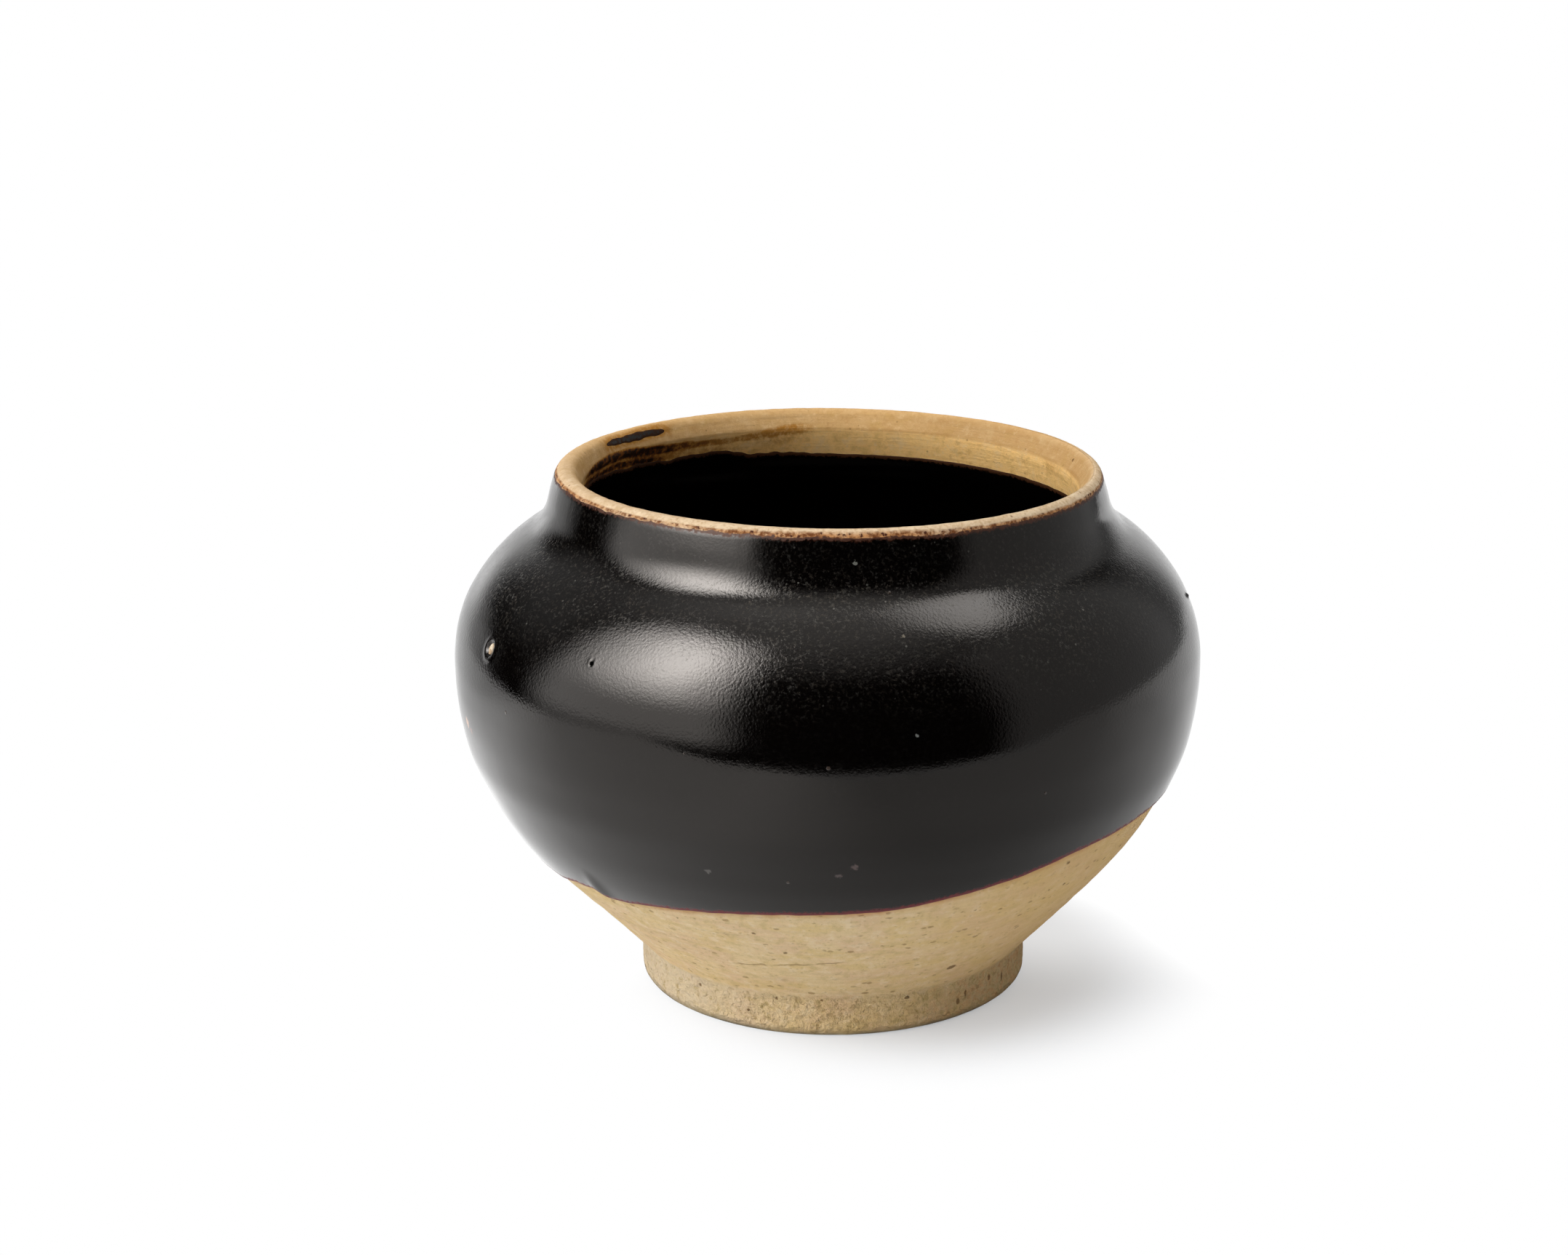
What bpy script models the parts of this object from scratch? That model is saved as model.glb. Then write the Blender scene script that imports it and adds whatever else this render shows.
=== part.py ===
"""A wheel-thrown stoneware jar with a bare lip, a bare foot and a dark glaze inside and out.

Metres, +Z up. The origin is on the surface that the jar stands on, on the axis of its belly.
Azimuths are counted from the front of the jar (-Y) towards its right (+X), in degrees.
"""
import math

import bmesh
import bpy
from mathutils import Vector

MM = 0.001

# The clay, outside: radii from the axis, and how far each stretch reaches out or draws in
FOOT_RADIUS = 39.6 * MM
FOOT_EDGE_ROUND = 1.3 * MM
FOOT_DRIFT = 0.8 * MM
FLARE_REACH = 16.0 * MM
BELLY_RADIUS = 74.2 * MM
RIDGE_SETBACK = 2.2 * MM
NECK_RADIUS = 55.1 * MM
NECK_CORNER_REACH = 4.9 * MM
NECK_DRAW_IN = 0.7 * MM

# The clay, outside: the height of each stretch, from the foot up
FOOT_HEIGHT = 8.0 * MM
FLARE_RISE = 17.2 * MM
RIDGE_RISE = 25.7 * MM
BELLY_RISE = 16.4 * MM
SHOULDER_RISE = 24.6 * MM
NECK_CORNER_RISE = 7.5 * MM
NECK_RISE = 5.2 * MM
LIP_RISE = 1.5 * MM

# How far each curve stands off its chord
FLARE_BOW = 1.2 * MM
RIDGE_BOW = 0.55 * MM
SHOULDER_BOW = 4.2 * MM
NECK_CORNER_BOW = 0.85 * MM

# The lip, inwards from the top of the neck
LIP_OUTER_WIDTH = 2.1 * MM
LIP_OUTER_BOW = 0.45 * MM
LIP_INNER_WIDTH = 1.3 * MM
LIP_INNER_DROP = 0.7 * MM
LIP_INNER_BOW = 0.12 * MM
LIP_SLOPE_WIDTH = 1.8 * MM
LIP_SLOPE_DROP = 3.4 * MM
THROAT_DRIFT = 0.6 * MM

# The wall, the floor and the turned underside
WALL = 5.2 * MM
FLOOR_DISH = 1.2 * MM
FLOOR_BOW = 0.9 * MM
FOOT_RING_WIDTH = 5.6 * MM
FOOT_INNER_SLOPE = 0.6 * MM
RECESS_DEPTH = 3.2 * MM
RECESS_FILLET = 1.0 * MM
RECESS_DOME = 0.5 * MM

# The glaze coats, a hair's breadth off the clay. The dip line is measured down from the ridge,
# and the upper edge of the inner coat down from the throat
GLAZE_GAP = 0.3 * MM
GLAZE_THICKNESS = 0.5 * MM
GLAZE_EDGE_THICKNESS = 0.3 * MM
DIP_LOW_DROP = 19.3 * MM
DIP_HIGH_DROP = 6.7 * MM
INNER_EDGE_LOW_DROP = 6.0 * MM
INNER_EDGE_HIGH_DROP = 3.2 * MM

# The dab of glaze on the inner slope of the lip
SPLASH_START_DEG = -137.0
SPLASH_END_DEG = -116.0
SPLASH_WIDTH = 1.5 * MM
SPLASH_TOP_INSET = 0.35 * MM
SPLASH_THICKNESS = 0.4 * MM
SPLASH_TAPER_SHARE = 0.96

# The pale grain in its crater in the outer glaze
GRIT_RADIUS = 1.45 * MM
GRIT_THICKNESS = 1.1 * MM
GRIT_CLEARANCE = 0.4 * MM
GRIT_AZIMUTH_DEG = -61.6
GRIT_RISE = 10.5 * MM
CUT_OVERRUN = 3.0 * MM

# Heights of the two glaze lines round the jar: azimuth and share of the way from low to high
DIP_LINE_SHARES = (
    (-150.0, 0.18), (-110.0, 0.0), (-80.0, 0.0), (-55.0, 0.04), (-45.0, 0.14), (-38.0, 0.08),
    (-25.0, 0.21), (0.0, 0.36), (15.0, 0.48), (30.0, 0.74), (45.0, 0.95), (60.0, 1.0),
    (90.0, 0.92), (125.0, 0.66), (170.0, 0.38),
)
INNER_LINE_SHARES = (
    (-150.0, 0.85), (-125.0, 0.92), (-105.0, 1.0), (-60.0, 0.8), (0.0, 0.5), (60.0, 0.2),
    (105.0, 0.12), (150.0, 0.1), (180.0, 0.2),
)

# Counts: sides round the axis, and steps along each curve outside and inside
SIDES = 52
FOOT_STEPS = 3
FLARE_STEPS = 6
RIDGE_STEPS = 3
SHOULDER_STEPS = 7
NECK_CORNER_STEPS = 4
INNER_STEPS_SHARE = 0.6
LIP_STEPS = 4
FLOOR_STEPS = 4
DIP_STEPS = 4
INNER_EDGE_STEPS = 2
SPLASH_SIDES = 10
GRIT_SIDES = 14
GRIT_RINGS = 7

# How far a quarter of a circle stands off its chord, as a share of its radius
QUARTER_BOW_SHARE = 1 - math.sqrt(2) / 2

# Places that follow from the sizes above
RIDGE_HEIGHT = FOOT_HEIGHT + FLARE_RISE + RIDGE_RISE
BELLY_HEIGHT = RIDGE_HEIGHT + BELLY_RISE
NECK_FOOT_HEIGHT = BELLY_HEIGHT + SHOULDER_RISE + NECK_CORNER_RISE
JAR_HEIGHT = NECK_FOOT_HEIGHT + NECK_RISE + LIP_RISE
LIP_OUTER_RADIUS = NECK_RADIUS - NECK_DRAW_IN
LIP_CREST_RADIUS = LIP_OUTER_RADIUS - LIP_OUTER_WIDTH
LIP_INNER_RADIUS = LIP_CREST_RADIUS - LIP_INNER_WIDTH
AZIMUTHS = [360 * side / SIDES for side in range(SIDES)]

# Finishes, and the angle above which an edge stays crisp
CLAY_COLOUR = (0.52, 0.37, 0.20, 1.0)
CLAY_ROUGHNESS = 0.75
GLAZE_COLOUR = (0.008, 0.007, 0.006, 1.0)
GLAZE_ROUGHNESS = 0.2
GLAZE_COAT = 0.5
GRIT_COLOUR = (0.56, 0.48, 0.36, 1.0)
GRIT_ROUGHNESS = 0.6
CRISP_EDGE_DEG = 40.0


def point(radius, height, drift=0.0):
    """One point of an outline: distance from the axis, shift of its ring to +X, and height."""
    return Vector((radius, drift, height))


def arc(start, end, bow, steps):
    """The points after start, up to end, on a circular arc that stands bow proud of its chord."""
    chord = Vector((end.x - start.x, 0, end.z - start.z))
    half = chord.length / 2
    half_sweep = 2 * math.atan2(bow, half)
    radius = half / math.sin(half_sweep)
    along = chord.normalized()
    side = Vector((along.z, 0, -along.x))
    centre = (start + end) / 2 + side * (bow - radius)
    points = []
    for step in range(1, steps + 1):
        share = step / steps
        turn = half_sweep * (2 * share - 1)
        here = centre + side * radius * math.cos(turn) + along * radius * math.sin(turn)
        points.append(point(here.x, here.z, start.y + (end.y - start.y) * share))
    return points


def square_to(start, end):
    """The direction that points off the clay from the stretch between two points of an outline."""
    along = Vector((end.x - start.x, 0, end.z - start.z)).normalized()
    return Vector((along.z, 0, -along.x))


def offset(outline, distances):
    """The outline moved off the clay by one distance for each point, with mitred corners."""
    sides = [square_to(a, b) for a, b in zip(outline, outline[1:])]
    moved = []
    for index, here in enumerate(outline):
        before = sides[max(index - 1, 0)]
        after = sides[min(index, len(sides) - 1)]
        mitre = (before + after).normalized()
        moved.append(here + mitre * (distances[index] / mitre.dot(after)))
    return moved


def belly_outline(detail_share):
    """The outside of the clay from the top of the foot ring to the foot of the neck."""
    foot_top = point(FOOT_RADIUS, FOOT_HEIGHT, FOOT_DRIFT)
    flare = point(FOOT_RADIUS + FLARE_REACH, FOOT_HEIGHT + FLARE_RISE, FOOT_DRIFT / 2)
    ridge = point(BELLY_RADIUS - RIDGE_SETBACK, RIDGE_HEIGHT)
    belly = point(BELLY_RADIUS, BELLY_HEIGHT)
    shoulder = point(NECK_RADIUS + NECK_CORNER_REACH, BELLY_HEIGHT + SHOULDER_RISE)
    neck_foot = point(NECK_RADIUS, NECK_FOOT_HEIGHT)
    outline = [foot_top, flare]
    outline += arc(flare, ridge, FLARE_BOW, round(FLARE_STEPS * detail_share))
    outline += arc(ridge, belly, RIDGE_BOW, round(RIDGE_STEPS * detail_share))
    outline += arc(belly, shoulder, SHOULDER_BOW, round(SHOULDER_STEPS * detail_share))
    outline += arc(shoulder, neck_foot, -NECK_CORNER_BOW, round(NECK_CORNER_STEPS * detail_share))
    return outline


def lip_outer_edge():
    """The top of the neck's outside, which draws in a little, where the bare lip begins."""
    return point(LIP_OUTER_RADIUS, JAR_HEIGHT - LIP_RISE)


def lip_inner_edge():
    """The top of the lip's inner slope."""
    return point(LIP_INNER_RADIUS, JAR_HEIGHT - LIP_INNER_DROP, THROAT_DRIFT / 2)


def throat():
    """The narrowest part of the mouth, at the foot of the lip's inner slope."""
    top = lip_inner_edge()
    return point(top.x - LIP_SLOPE_WIDTH, top.z - LIP_SLOPE_DROP, THROAT_DRIFT)


def underside_outline():
    """The turned recess under the floor and the flat ring that the jar stands on."""
    inner_radius = FOOT_RADIUS - FOOT_EDGE_ROUND - FOOT_RING_WIDTH
    recess_radius = inner_radius - FOOT_INNER_SLOPE
    fillet_start = point(recess_radius - RECESS_FILLET, RECESS_DEPTH, FOOT_DRIFT)
    fillet_end = point(recess_radius, RECESS_DEPTH - RECESS_FILLET, FOOT_DRIFT)
    fillet_bow = -RECESS_FILLET * QUARTER_BOW_SHARE
    outline = [point(0, RECESS_DEPTH + RECESS_DOME, FOOT_DRIFT), fillet_start]
    outline += arc(fillet_start, fillet_end, fillet_bow, FOOT_STEPS)
    outline.append(point(inner_radius, 0, FOOT_DRIFT))
    outline.append(point(FOOT_RADIUS - FOOT_EDGE_ROUND, 0, FOOT_DRIFT))
    return outline


def foot_edge_outline():
    """The rounded lower edge of the foot ring."""
    start = point(FOOT_RADIUS - FOOT_EDGE_ROUND, 0, FOOT_DRIFT)
    end = point(FOOT_RADIUS, FOOT_EDGE_ROUND, FOOT_DRIFT)
    return arc(start, end, FOOT_EDGE_ROUND * QUARTER_BOW_SHARE, FOOT_STEPS)


def lip_outline():
    """The rounded lip from its outer edge over the crest and down its inner slope."""
    crest = point(LIP_CREST_RADIUS, JAR_HEIGHT)
    outline = arc(lip_outer_edge(), crest, LIP_OUTER_BOW, LIP_STEPS)
    outline += arc(crest, lip_inner_edge(), LIP_INNER_BOW, LIP_STEPS // 2)
    outline.append(throat())
    return outline


def inner_wall_outline():
    """The inside of the clay below the throat: neck, shoulder, belly and dished floor."""
    outer = belly_outline(INNER_STEPS_SHARE)
    wall = list(reversed(offset(outer, [-WALL] * len(outer))))
    floor_edge = wall[-1]
    floor_centre = point(0, floor_edge.z - FLOOR_DISH, floor_edge.y)
    return wall + arc(floor_edge, floor_centre, -FLOOR_BOW, FLOOR_STEPS)


def stretch_at(outline, height):
    """The two neighbouring points of a rising outline that a height lies between."""
    for low, high in zip(outline, outline[1:]):
        if height <= high.z:
            break
    return low, high


def point_at(outline, height):
    """The point of a rising outline at a height."""
    low, high = stretch_at(outline, height)
    return low.lerp(high, (height - low.z) / (high.z - low.z))


def evenly_between(outline, start, end, steps):
    """Points of a rising outline at even heights, from one height to just short of another."""
    return [point_at(outline, start + (end - start) * step / steps) for step in range(steps)]


def height_on_line(azimuth, table, low, high):
    """The height of a glaze line at an azimuth, eased from one entry of its table to the next."""
    first = table[0][0]
    turn = first + (azimuth - first) % 360
    closed = table + ((first + 360, table[0][1]),)
    for (a, share_a), (b, share_b) in zip(closed, closed[1:]):
        if turn <= b:
            break
    ease = (1 - math.cos(math.pi * (turn - a) / (b - a))) / 2
    return low + (high - low) * (share_a + (share_b - share_a) * ease)


def place(outline_point, azimuth):
    """The world place of an outline point at an azimuth."""
    turn = math.radians(azimuth)
    x = outline_point.y + outline_point.x * math.sin(turn)
    return Vector((x, -outline_point.x * math.cos(turn), outline_point.z))


def new_object(name, bm, material):
    """A smooth-shaded object in the scene from a finished bmesh."""
    bmesh.ops.recalc_face_normals(bm, faces=bm.faces)
    mesh = bpy.data.meshes.new(name)
    bm.to_mesh(mesh)
    bm.free()
    mesh.materials.append(material)
    mesh.shade_smooth()
    mesh.set_sharp_from_angle(angle=math.radians(CRISP_EDGE_DEG))
    piece = bpy.data.objects.new(name, mesh)
    bpy.context.collection.objects.link(piece)
    return piece


def turned(name, sections, closed, material):
    """Join one section for each azimuth. A point on the axis becomes one pole of the form."""
    bm = bmesh.new()
    rings = []
    for index, first in enumerate(sections[0]):
        if first.x == 0:
            rings.append([bm.verts.new(place(first, 0))])
            continue
        places = [place(section[index], azimuth) for section, azimuth in zip(sections, AZIMUTHS)]
        rings.append([bm.verts.new(spot) for spot in places])
    following = rings[1:] + (rings[:1] if closed else [])
    for lower, upper in zip(rings, following):
        join_rings(bm, lower, upper)
    return new_object(name, bm, material)


def join_rings(bm, lower, upper):
    """Faces between two rings, or between a ring and a pole."""
    for side in range(SIDES):
        after = (side + 1) % SIDES
        if len(lower) == 1:
            bm.faces.new((lower[0], upper[after], upper[side]))
        elif len(upper) == 1:
            bm.faces.new((lower[side], lower[after], upper[0]))
        else:
            bm.faces.new((lower[side], lower[after], upper[after], upper[side]))


def coat_section(line, thicknesses):
    """The two sides of a coat over a line on the clay: its clay side, then its bright side back."""
    under = offset(line, [GLAZE_GAP] * len(line))
    over = offset(line, [GLAZE_GAP + thickness for thickness in thicknesses])
    return under + list(reversed(over))


def body_section():
    """The clay section, from the middle of the underside round to the middle of the floor."""
    outside = foot_edge_outline() + belly_outline(1) + [lip_outer_edge()]
    return underside_outline() + outside + lip_outline() + inner_wall_outline()


def outer_glaze_section(azimuth):
    """The outer coat's section, from the dip line up to the lip."""
    low = RIDGE_HEIGHT - DIP_LOW_DROP
    high = RIDGE_HEIGHT - DIP_HIGH_DROP
    dip = height_on_line(azimuth, DIP_LINE_SHARES, low, high)
    wall = belly_outline(1)
    line = evenly_between(wall, dip, RIDGE_HEIGHT, DIP_STEPS)
    ridge_index = FLARE_STEPS + 1
    line += wall[ridge_index:] + [lip_outer_edge()]
    thicknesses = [GLAZE_THICKNESS] * len(line)
    thicknesses[0] = GLAZE_EDGE_THICKNESS
    thicknesses[-1] = GLAZE_EDGE_THICKNESS
    return coat_section(line, thicknesses)


def inner_glaze_section(azimuth):
    """The inner coat's section, from its ragged upper edge down to the middle of the floor."""
    neck_top = throat()
    low = neck_top.z - INNER_EDGE_LOW_DROP
    high = neck_top.z - INNER_EDGE_HIGH_DROP
    edge_height = height_on_line(azimuth, INNER_LINE_SHARES, low, high)
    wall = inner_wall_outline()
    below = [spot for spot in wall if spot.z < low]
    rising = list(reversed(wall)) + [neck_top]
    line = evenly_between(rising, edge_height, below[0].z, INNER_EDGE_STEPS) + below
    thicknesses = [GLAZE_THICKNESS] * len(line)
    thicknesses[0] = GLAZE_EDGE_THICKNESS
    section = coat_section(line, thicknesses)
    middle = len(line)
    section[middle - 1].x = 0
    section[middle].x = 0
    return section[middle:] + section[:middle]


def splash_section(share):
    """The dab's section across the lip's slope, at a share of the way along it, thin at its ends."""
    top = lip_inner_edge()
    down_slope = (throat() - top).normalized()
    swell = math.sin(math.pi * share) ** 0.5
    middle = top + down_slope * (SPLASH_TOP_INSET + SPLASH_WIDTH / 2)
    reach = down_slope * (SPLASH_WIDTH / 2 * swell)
    line = [middle - reach, middle, middle + reach]
    off_clay = square_to(line[0], line[2])
    under = [spot + off_clay * GLAZE_GAP for spot in line]
    heights = (SPLASH_THICKNESS / 2, SPLASH_THICKNESS, SPLASH_THICKNESS / 2)
    over = [spot + off_clay * (GLAZE_GAP + height) for spot, height in zip(line, heights)]
    return under + list(reversed(over))


def rim_glaze_splash(material):
    """The dab of glaze that touched the lip, a thin lens laid along its inner slope."""
    bm = bmesh.new()
    loops = []
    for side in range(SPLASH_SIDES + 1):
        along = side / SPLASH_SIDES
        azimuth = SPLASH_START_DEG + (SPLASH_END_DEG - SPLASH_START_DEG) * along
        share = 0.5 + (along - 0.5) * SPLASH_TAPER_SHARE
        loops.append([bm.verts.new(place(spot, azimuth)) for spot in splash_section(share)])
    for near, far in zip(loops, loops[1:]):
        for index in range(len(near)):
            after = (index + 1) % len(near)
            bm.faces.new((near[index], near[after], far[after], far[index]))
    bm.faces.new(loops[0])
    bm.faces.new(loops[-1])
    return new_object("rim_glaze_splash", bm, material)


def grit_seat():
    """The clay's surface point and outward direction where the grain sits."""
    low, high = stretch_at(belly_outline(1), BELLY_HEIGHT + GRIT_RISE)
    spot = point_at([low, high], BELLY_HEIGHT + GRIT_RISE)
    seat = place(spot, GRIT_AZIMUTH_DEG)
    outward = place(spot + square_to(low, high), GRIT_AZIMUTH_DEG) - seat
    return seat, outward.normalized()


def kiln_grit(material):
    """The pale grain, a flattened pebble that stands a little proud of the glaze round it."""
    seat, outward = grit_seat()
    bm = bmesh.new()
    bmesh.ops.create_uvsphere(bm, u_segments=GRIT_SIDES, v_segments=GRIT_RINGS, radius=GRIT_RADIUS)
    flatten = GRIT_THICKNESS / (2 * GRIT_RADIUS)
    for vert in bm.verts:
        vert.co.z *= flatten
    grain = new_object("kiln_grit", bm, material)
    grain.location = seat + outward * (GLAZE_GAP + GRIT_THICKNESS / 2)
    grain.rotation_euler = outward.to_track_quat("Z", "Y").to_euler()
    return grain


def open_crater(coat):
    """Cut the round hole in the outer coat that the grain sits in."""
    seat, outward = grit_seat()
    bm = bmesh.new()
    depth = 2 * (GLAZE_GAP + GLAZE_THICKNESS + CUT_OVERRUN)
    radius = GRIT_RADIUS + GRIT_CLEARANCE
    bmesh.ops.create_cone(
        bm, segments=GRIT_SIDES, radius1=radius, radius2=radius, depth=depth, cap_ends=True)
    mesh = bpy.data.meshes.new("crater_cutter")
    bm.to_mesh(mesh)
    bm.free()
    cutter = bpy.data.objects.new("crater_cutter", mesh)
    bpy.context.collection.objects.link(cutter)
    cutter.location = seat
    cutter.rotation_euler = outward.to_track_quat("Z", "Y").to_euler()
    cutter.hide_render = True
    cutter.display_type = "WIRE"
    cut = coat.modifiers.new("crater", "BOOLEAN")
    cut.operation = "DIFFERENCE"
    cut.solver = "EXACT"
    cut.object = cutter


def finish(name, colour, roughness, coat_weight=0.0):
    """A Principled material in one colour."""
    material = bpy.data.materials.new(name)
    material.use_nodes = True
    shader = material.node_tree.nodes["Principled BSDF"]
    shader.inputs["Base Color"].default_value = colour
    shader.inputs["Roughness"].default_value = roughness
    shader.inputs["Metallic"].default_value = 0.0
    shader.inputs["Coat Weight"].default_value = coat_weight
    material.diffuse_color = colour
    return material


def clear_scene():
    """Remove whatever the scene starts with."""
    for item in list(bpy.data.objects):
        bpy.data.objects.remove(item, do_unlink=True)


def main():
    clear_scene()
    clay = finish("stoneware_clay", CLAY_COLOUR, CLAY_ROUGHNESS)
    glaze = finish("dark_glaze", GLAZE_COLOUR, GLAZE_ROUGHNESS, GLAZE_COAT)
    grain = finish("pale_grit", GRIT_COLOUR, GRIT_ROUGHNESS)
    turned("stoneware_body", [body_section()] * SIDES, False, clay)
    outer_sections = [outer_glaze_section(azimuth) for azimuth in AZIMUTHS]
    open_crater(turned("outer_glaze", outer_sections, True, glaze))
    inner_sections = [inner_glaze_section(azimuth) for azimuth in AZIMUTHS]
    turned("inner_glaze", inner_sections, False, glaze)
    rim_glaze_splash(glaze)
    kiln_grit(grain)


main()
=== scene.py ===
"""The glazed stoneware jar as it looks: turned clay, a dark glaze dipped askew, and its studio.

Outlines are in millimetres, as distance from the axis and height, and meshes are in metres.
Azimuths are counted from the front of the jar (-Y) towards its right (+X), in degrees.
"""

import functools
import itertools
import math
from types import SimpleNamespace

import bmesh
import bpy
import numpy as np
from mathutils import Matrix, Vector

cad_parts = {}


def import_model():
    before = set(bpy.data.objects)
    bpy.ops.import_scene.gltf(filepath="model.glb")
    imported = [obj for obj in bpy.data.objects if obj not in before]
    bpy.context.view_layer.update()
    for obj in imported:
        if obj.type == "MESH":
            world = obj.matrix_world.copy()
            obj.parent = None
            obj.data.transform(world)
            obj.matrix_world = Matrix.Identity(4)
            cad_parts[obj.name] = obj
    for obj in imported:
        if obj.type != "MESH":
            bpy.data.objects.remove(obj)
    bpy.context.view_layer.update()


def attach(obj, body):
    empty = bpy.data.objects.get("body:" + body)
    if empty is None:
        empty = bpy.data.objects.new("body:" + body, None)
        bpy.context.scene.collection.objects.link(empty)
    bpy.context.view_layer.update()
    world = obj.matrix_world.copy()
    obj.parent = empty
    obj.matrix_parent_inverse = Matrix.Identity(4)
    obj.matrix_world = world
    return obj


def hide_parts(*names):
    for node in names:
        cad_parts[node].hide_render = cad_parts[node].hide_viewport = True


MM = 0.001
WHITE = (1, 1, 1)

# The clay, outside: radii and reaches, then the height of each stretch, then how far each bows
FOOT_RADIUS = 39.6
FOOT_EDGE_ROUND = 1.0
FOOT_EDGE_BOW = 0.29
FOOT_DRIFT = 0.8
FLARE_REACH = 16.0
BELLY_RADIUS = 74.2
RIDGE_SETBACK = 2.2
NECK_RADIUS = 55.1
NECK_CORNER_REACH = 4.3
NECK_DRAW_IN = 0.7
FOOT_HEIGHT = 8.0
FLARE_RISE = 17.2
RIDGE_RISE = 25.7
BELLY_RISE = 16.4
SHOULDER_RISE = 25.5
NECK_CORNER_RISE = 6.6
NECK_RISE = 5.2
LIP_RISE = 1.5
FLARE_BOW = 1.2
LOWER_BELLY_FULLNESS = 0.6
LEFT_FULLNESS = 0.3
NECK_CORNER_HOLLOW = 0.25
RIDGE_BOW = 0.55
SHOULDER_BOW = 4.2
NECK_CORNER_BOW = 0.68

# The lip, the wall, the floor and the underside
LIP_OUTER_WIDTH = 2.1
LIP_OUTER_BOW = 0.45
LIP_INNER_WIDTH = 1.3
LIP_INNER_DROP = 0.7
LIP_INNER_BOW = 0.12
LIP_SLOPE_WIDTH = 1.8
LIP_SLOPE_DROP = 3.4
THROAT_DRIFT = 0.6
THROAT_DROP = 1.5
LIP_TILT_SHARE = 0.005
WALL = 5.2
FLOOR_DISH = 1.2
FLOOR_BOW = 0.9
FOOT_RING_OUTER_SLOPE = 1.3
FOOT_RING_WIDTH = 5.6
RECESS_DEPTH = 3.2
RECESS_SLOPE = 1.6
RECESS_DISH = 0.5

# The glaze on the clay: how thick it lies, how far it bites in, and how it rounds off at an edge
GLAZE_THICKNESS = 0.8
GLAZE_BITE = 0.15
GLAZE_EDGE_ROUND = 1.1
GLAZE_LIP_FADE = 8.0
GLAZE_LIP_SUNK = 1.96
GLAZE_OVER_LIP = 2.5
GLAZE_LOWER_RIGHT = 0.25
INNER_GLAZE_THICKNESS = 0.3
CLAY_SET_BACK = 0.5

# Heights of the glaze lines round the jar, as azimuth and height
DIP_LINE = (
    (-150, 33.9), (-110, 31.6), (-80, 31.6), (-56.5, 31.9), (-50, 33.3), (-47, 33.2),
    (-44.2, 34.1), (-43.3, 33.8), (-42.2, 32.9), (-40.8, 32.4), (-38, 32.7), (-35, 33.1),
    (-31.8, 33.6), (-20, 34.9), (-8, 36), (0, 36.3), (10, 36.9), (20, 38.7), (32, 41),
    (42, 43.1), (58, 44.4), (75, 44.2), (100, 42.9), (130, 39.6), (170, 36.2),
)
INNER_LINE = (
    (-170, 97.1), (-160, 97), (-155, 98.2), (-144, 98.4), (-139, 98), (-127, 98.5),
    (-117, 98.9), (-108, 99.2), (-90, 98.2), (-60, 97.6), (0, 96.8), (60, 96.4),
    (120, 96.2), (150, 96.3), (178, 96.4),
)

# Marks on the glaze: azimuth and height
FOLD_AZIMUTH = -43.0
FOLD_RISE = 0.45
GRAIN_PLACE = (-61.6, 77.8)
GRAIN_RADIUS = 1.15
CRATER_RIM_RADIUS = 2.1
CRATER_RIM_RISE = 0.12
CRATER_DEPTH = 0.42
PINHOLE_PLACE = (-37.3, 81.5)
PIMPLE_PLACE = (84.1, 80.6)
PIMPLE_RISE = 0.42

# Small coloured spots in the glaze: azimuth, height, radius and colour
GLAZE_SPOTS = (
    (-70.6, 60.2, 1.35, (0.50, 0.26, 0.15)),
    (-68.6, 59.3, 0.95, (0.16, 0.035, 0.015)),
    (-65.5, 54.6, 0.50, (0.02, 0.006, 0.004)),
    (-37.3, 81.4, 0.42, (0.001, 0.001, 0.001)),
    (-18.4, 45.7, 0.75, (0.075, 0.068, 0.06)),
    (3.7, 48.2, 0.80, (0.085, 0.058, 0.052)),
    (1.4, 46.3, 0.70, (0.075, 0.055, 0.05)),
    (12, 73.1, 0.34, (0.14, 0.14, 0.13)),
    (4.8, 100.4, 0.33, (0.14, 0.14, 0.12)),
    (11.6, 88.8, 0.33, (0.15, 0.13, 0.10)),
    (-44.5, 36, 0.90, (0.10, 0.030, 0.015)),
    (-42.6, 34.9, 1.10, (0.10, 0.030, 0.015)),
)

# Small dark marks in the bare clay: azimuth, height, half their length and half their height
CLAY_MARKS = (
    (30, 14.9, 1.15, 1.3), (45.2, 34.3, 0.6, 0.75), (42.2, 40.4, 0.85, 0.6),
    (-14.2, 29.4, 0.55, 0.6), (-28.6, 30.8, 0.75, 0.4), (-9.4, 23.5, 0.55, 0.6),
    (-16.2, 7.5, 0.4, 0.4), (-41.8, 6.7, 0.4, 0.4), (-24.8, 4.2, 0.4, 0.4),
    (41.6, 4.9, 0.45, 1), (38.8, 3.6, 0.6, 0.9), (59.4, 4.4, 0.45, 1.3),
    (52.2, 6, 0.45, 0.9), (21.4, 7.2, 0.6, 0.4), (-3.2, 7.7, 0.45, 0.35),
)
THROAT_MARK = (103.5, 104.2, 0.42, 0.42)
SCRATCH_START = (-24.2, 17.7)
SCRATCH_END = (4.4, 20.9)

# The dab on the lip's slope, and brown streaks at the throat as azimuth, height and strength
DAB_START = -136.0
DAB_END = -114.0
DAB_WIDTH = 2.0
DAB_THICKNESS = 0.2
DAB_EDGE = 0.9
STREAK = (
    (-95, 101.4, 0), (-101, 102, 1.1), (-118, 102.4, 1.3), (-130, 101.4, 1.15),
    (-136, 101.1, 0.85), (-144, 100.8, 0.6), (-155, 100.7, 0.36), (-161, 101.4, 0.33),
    (-167, 102, 0.42), (-172, 102.4, 0.36), (-178, 102.4, 0),
)

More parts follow.
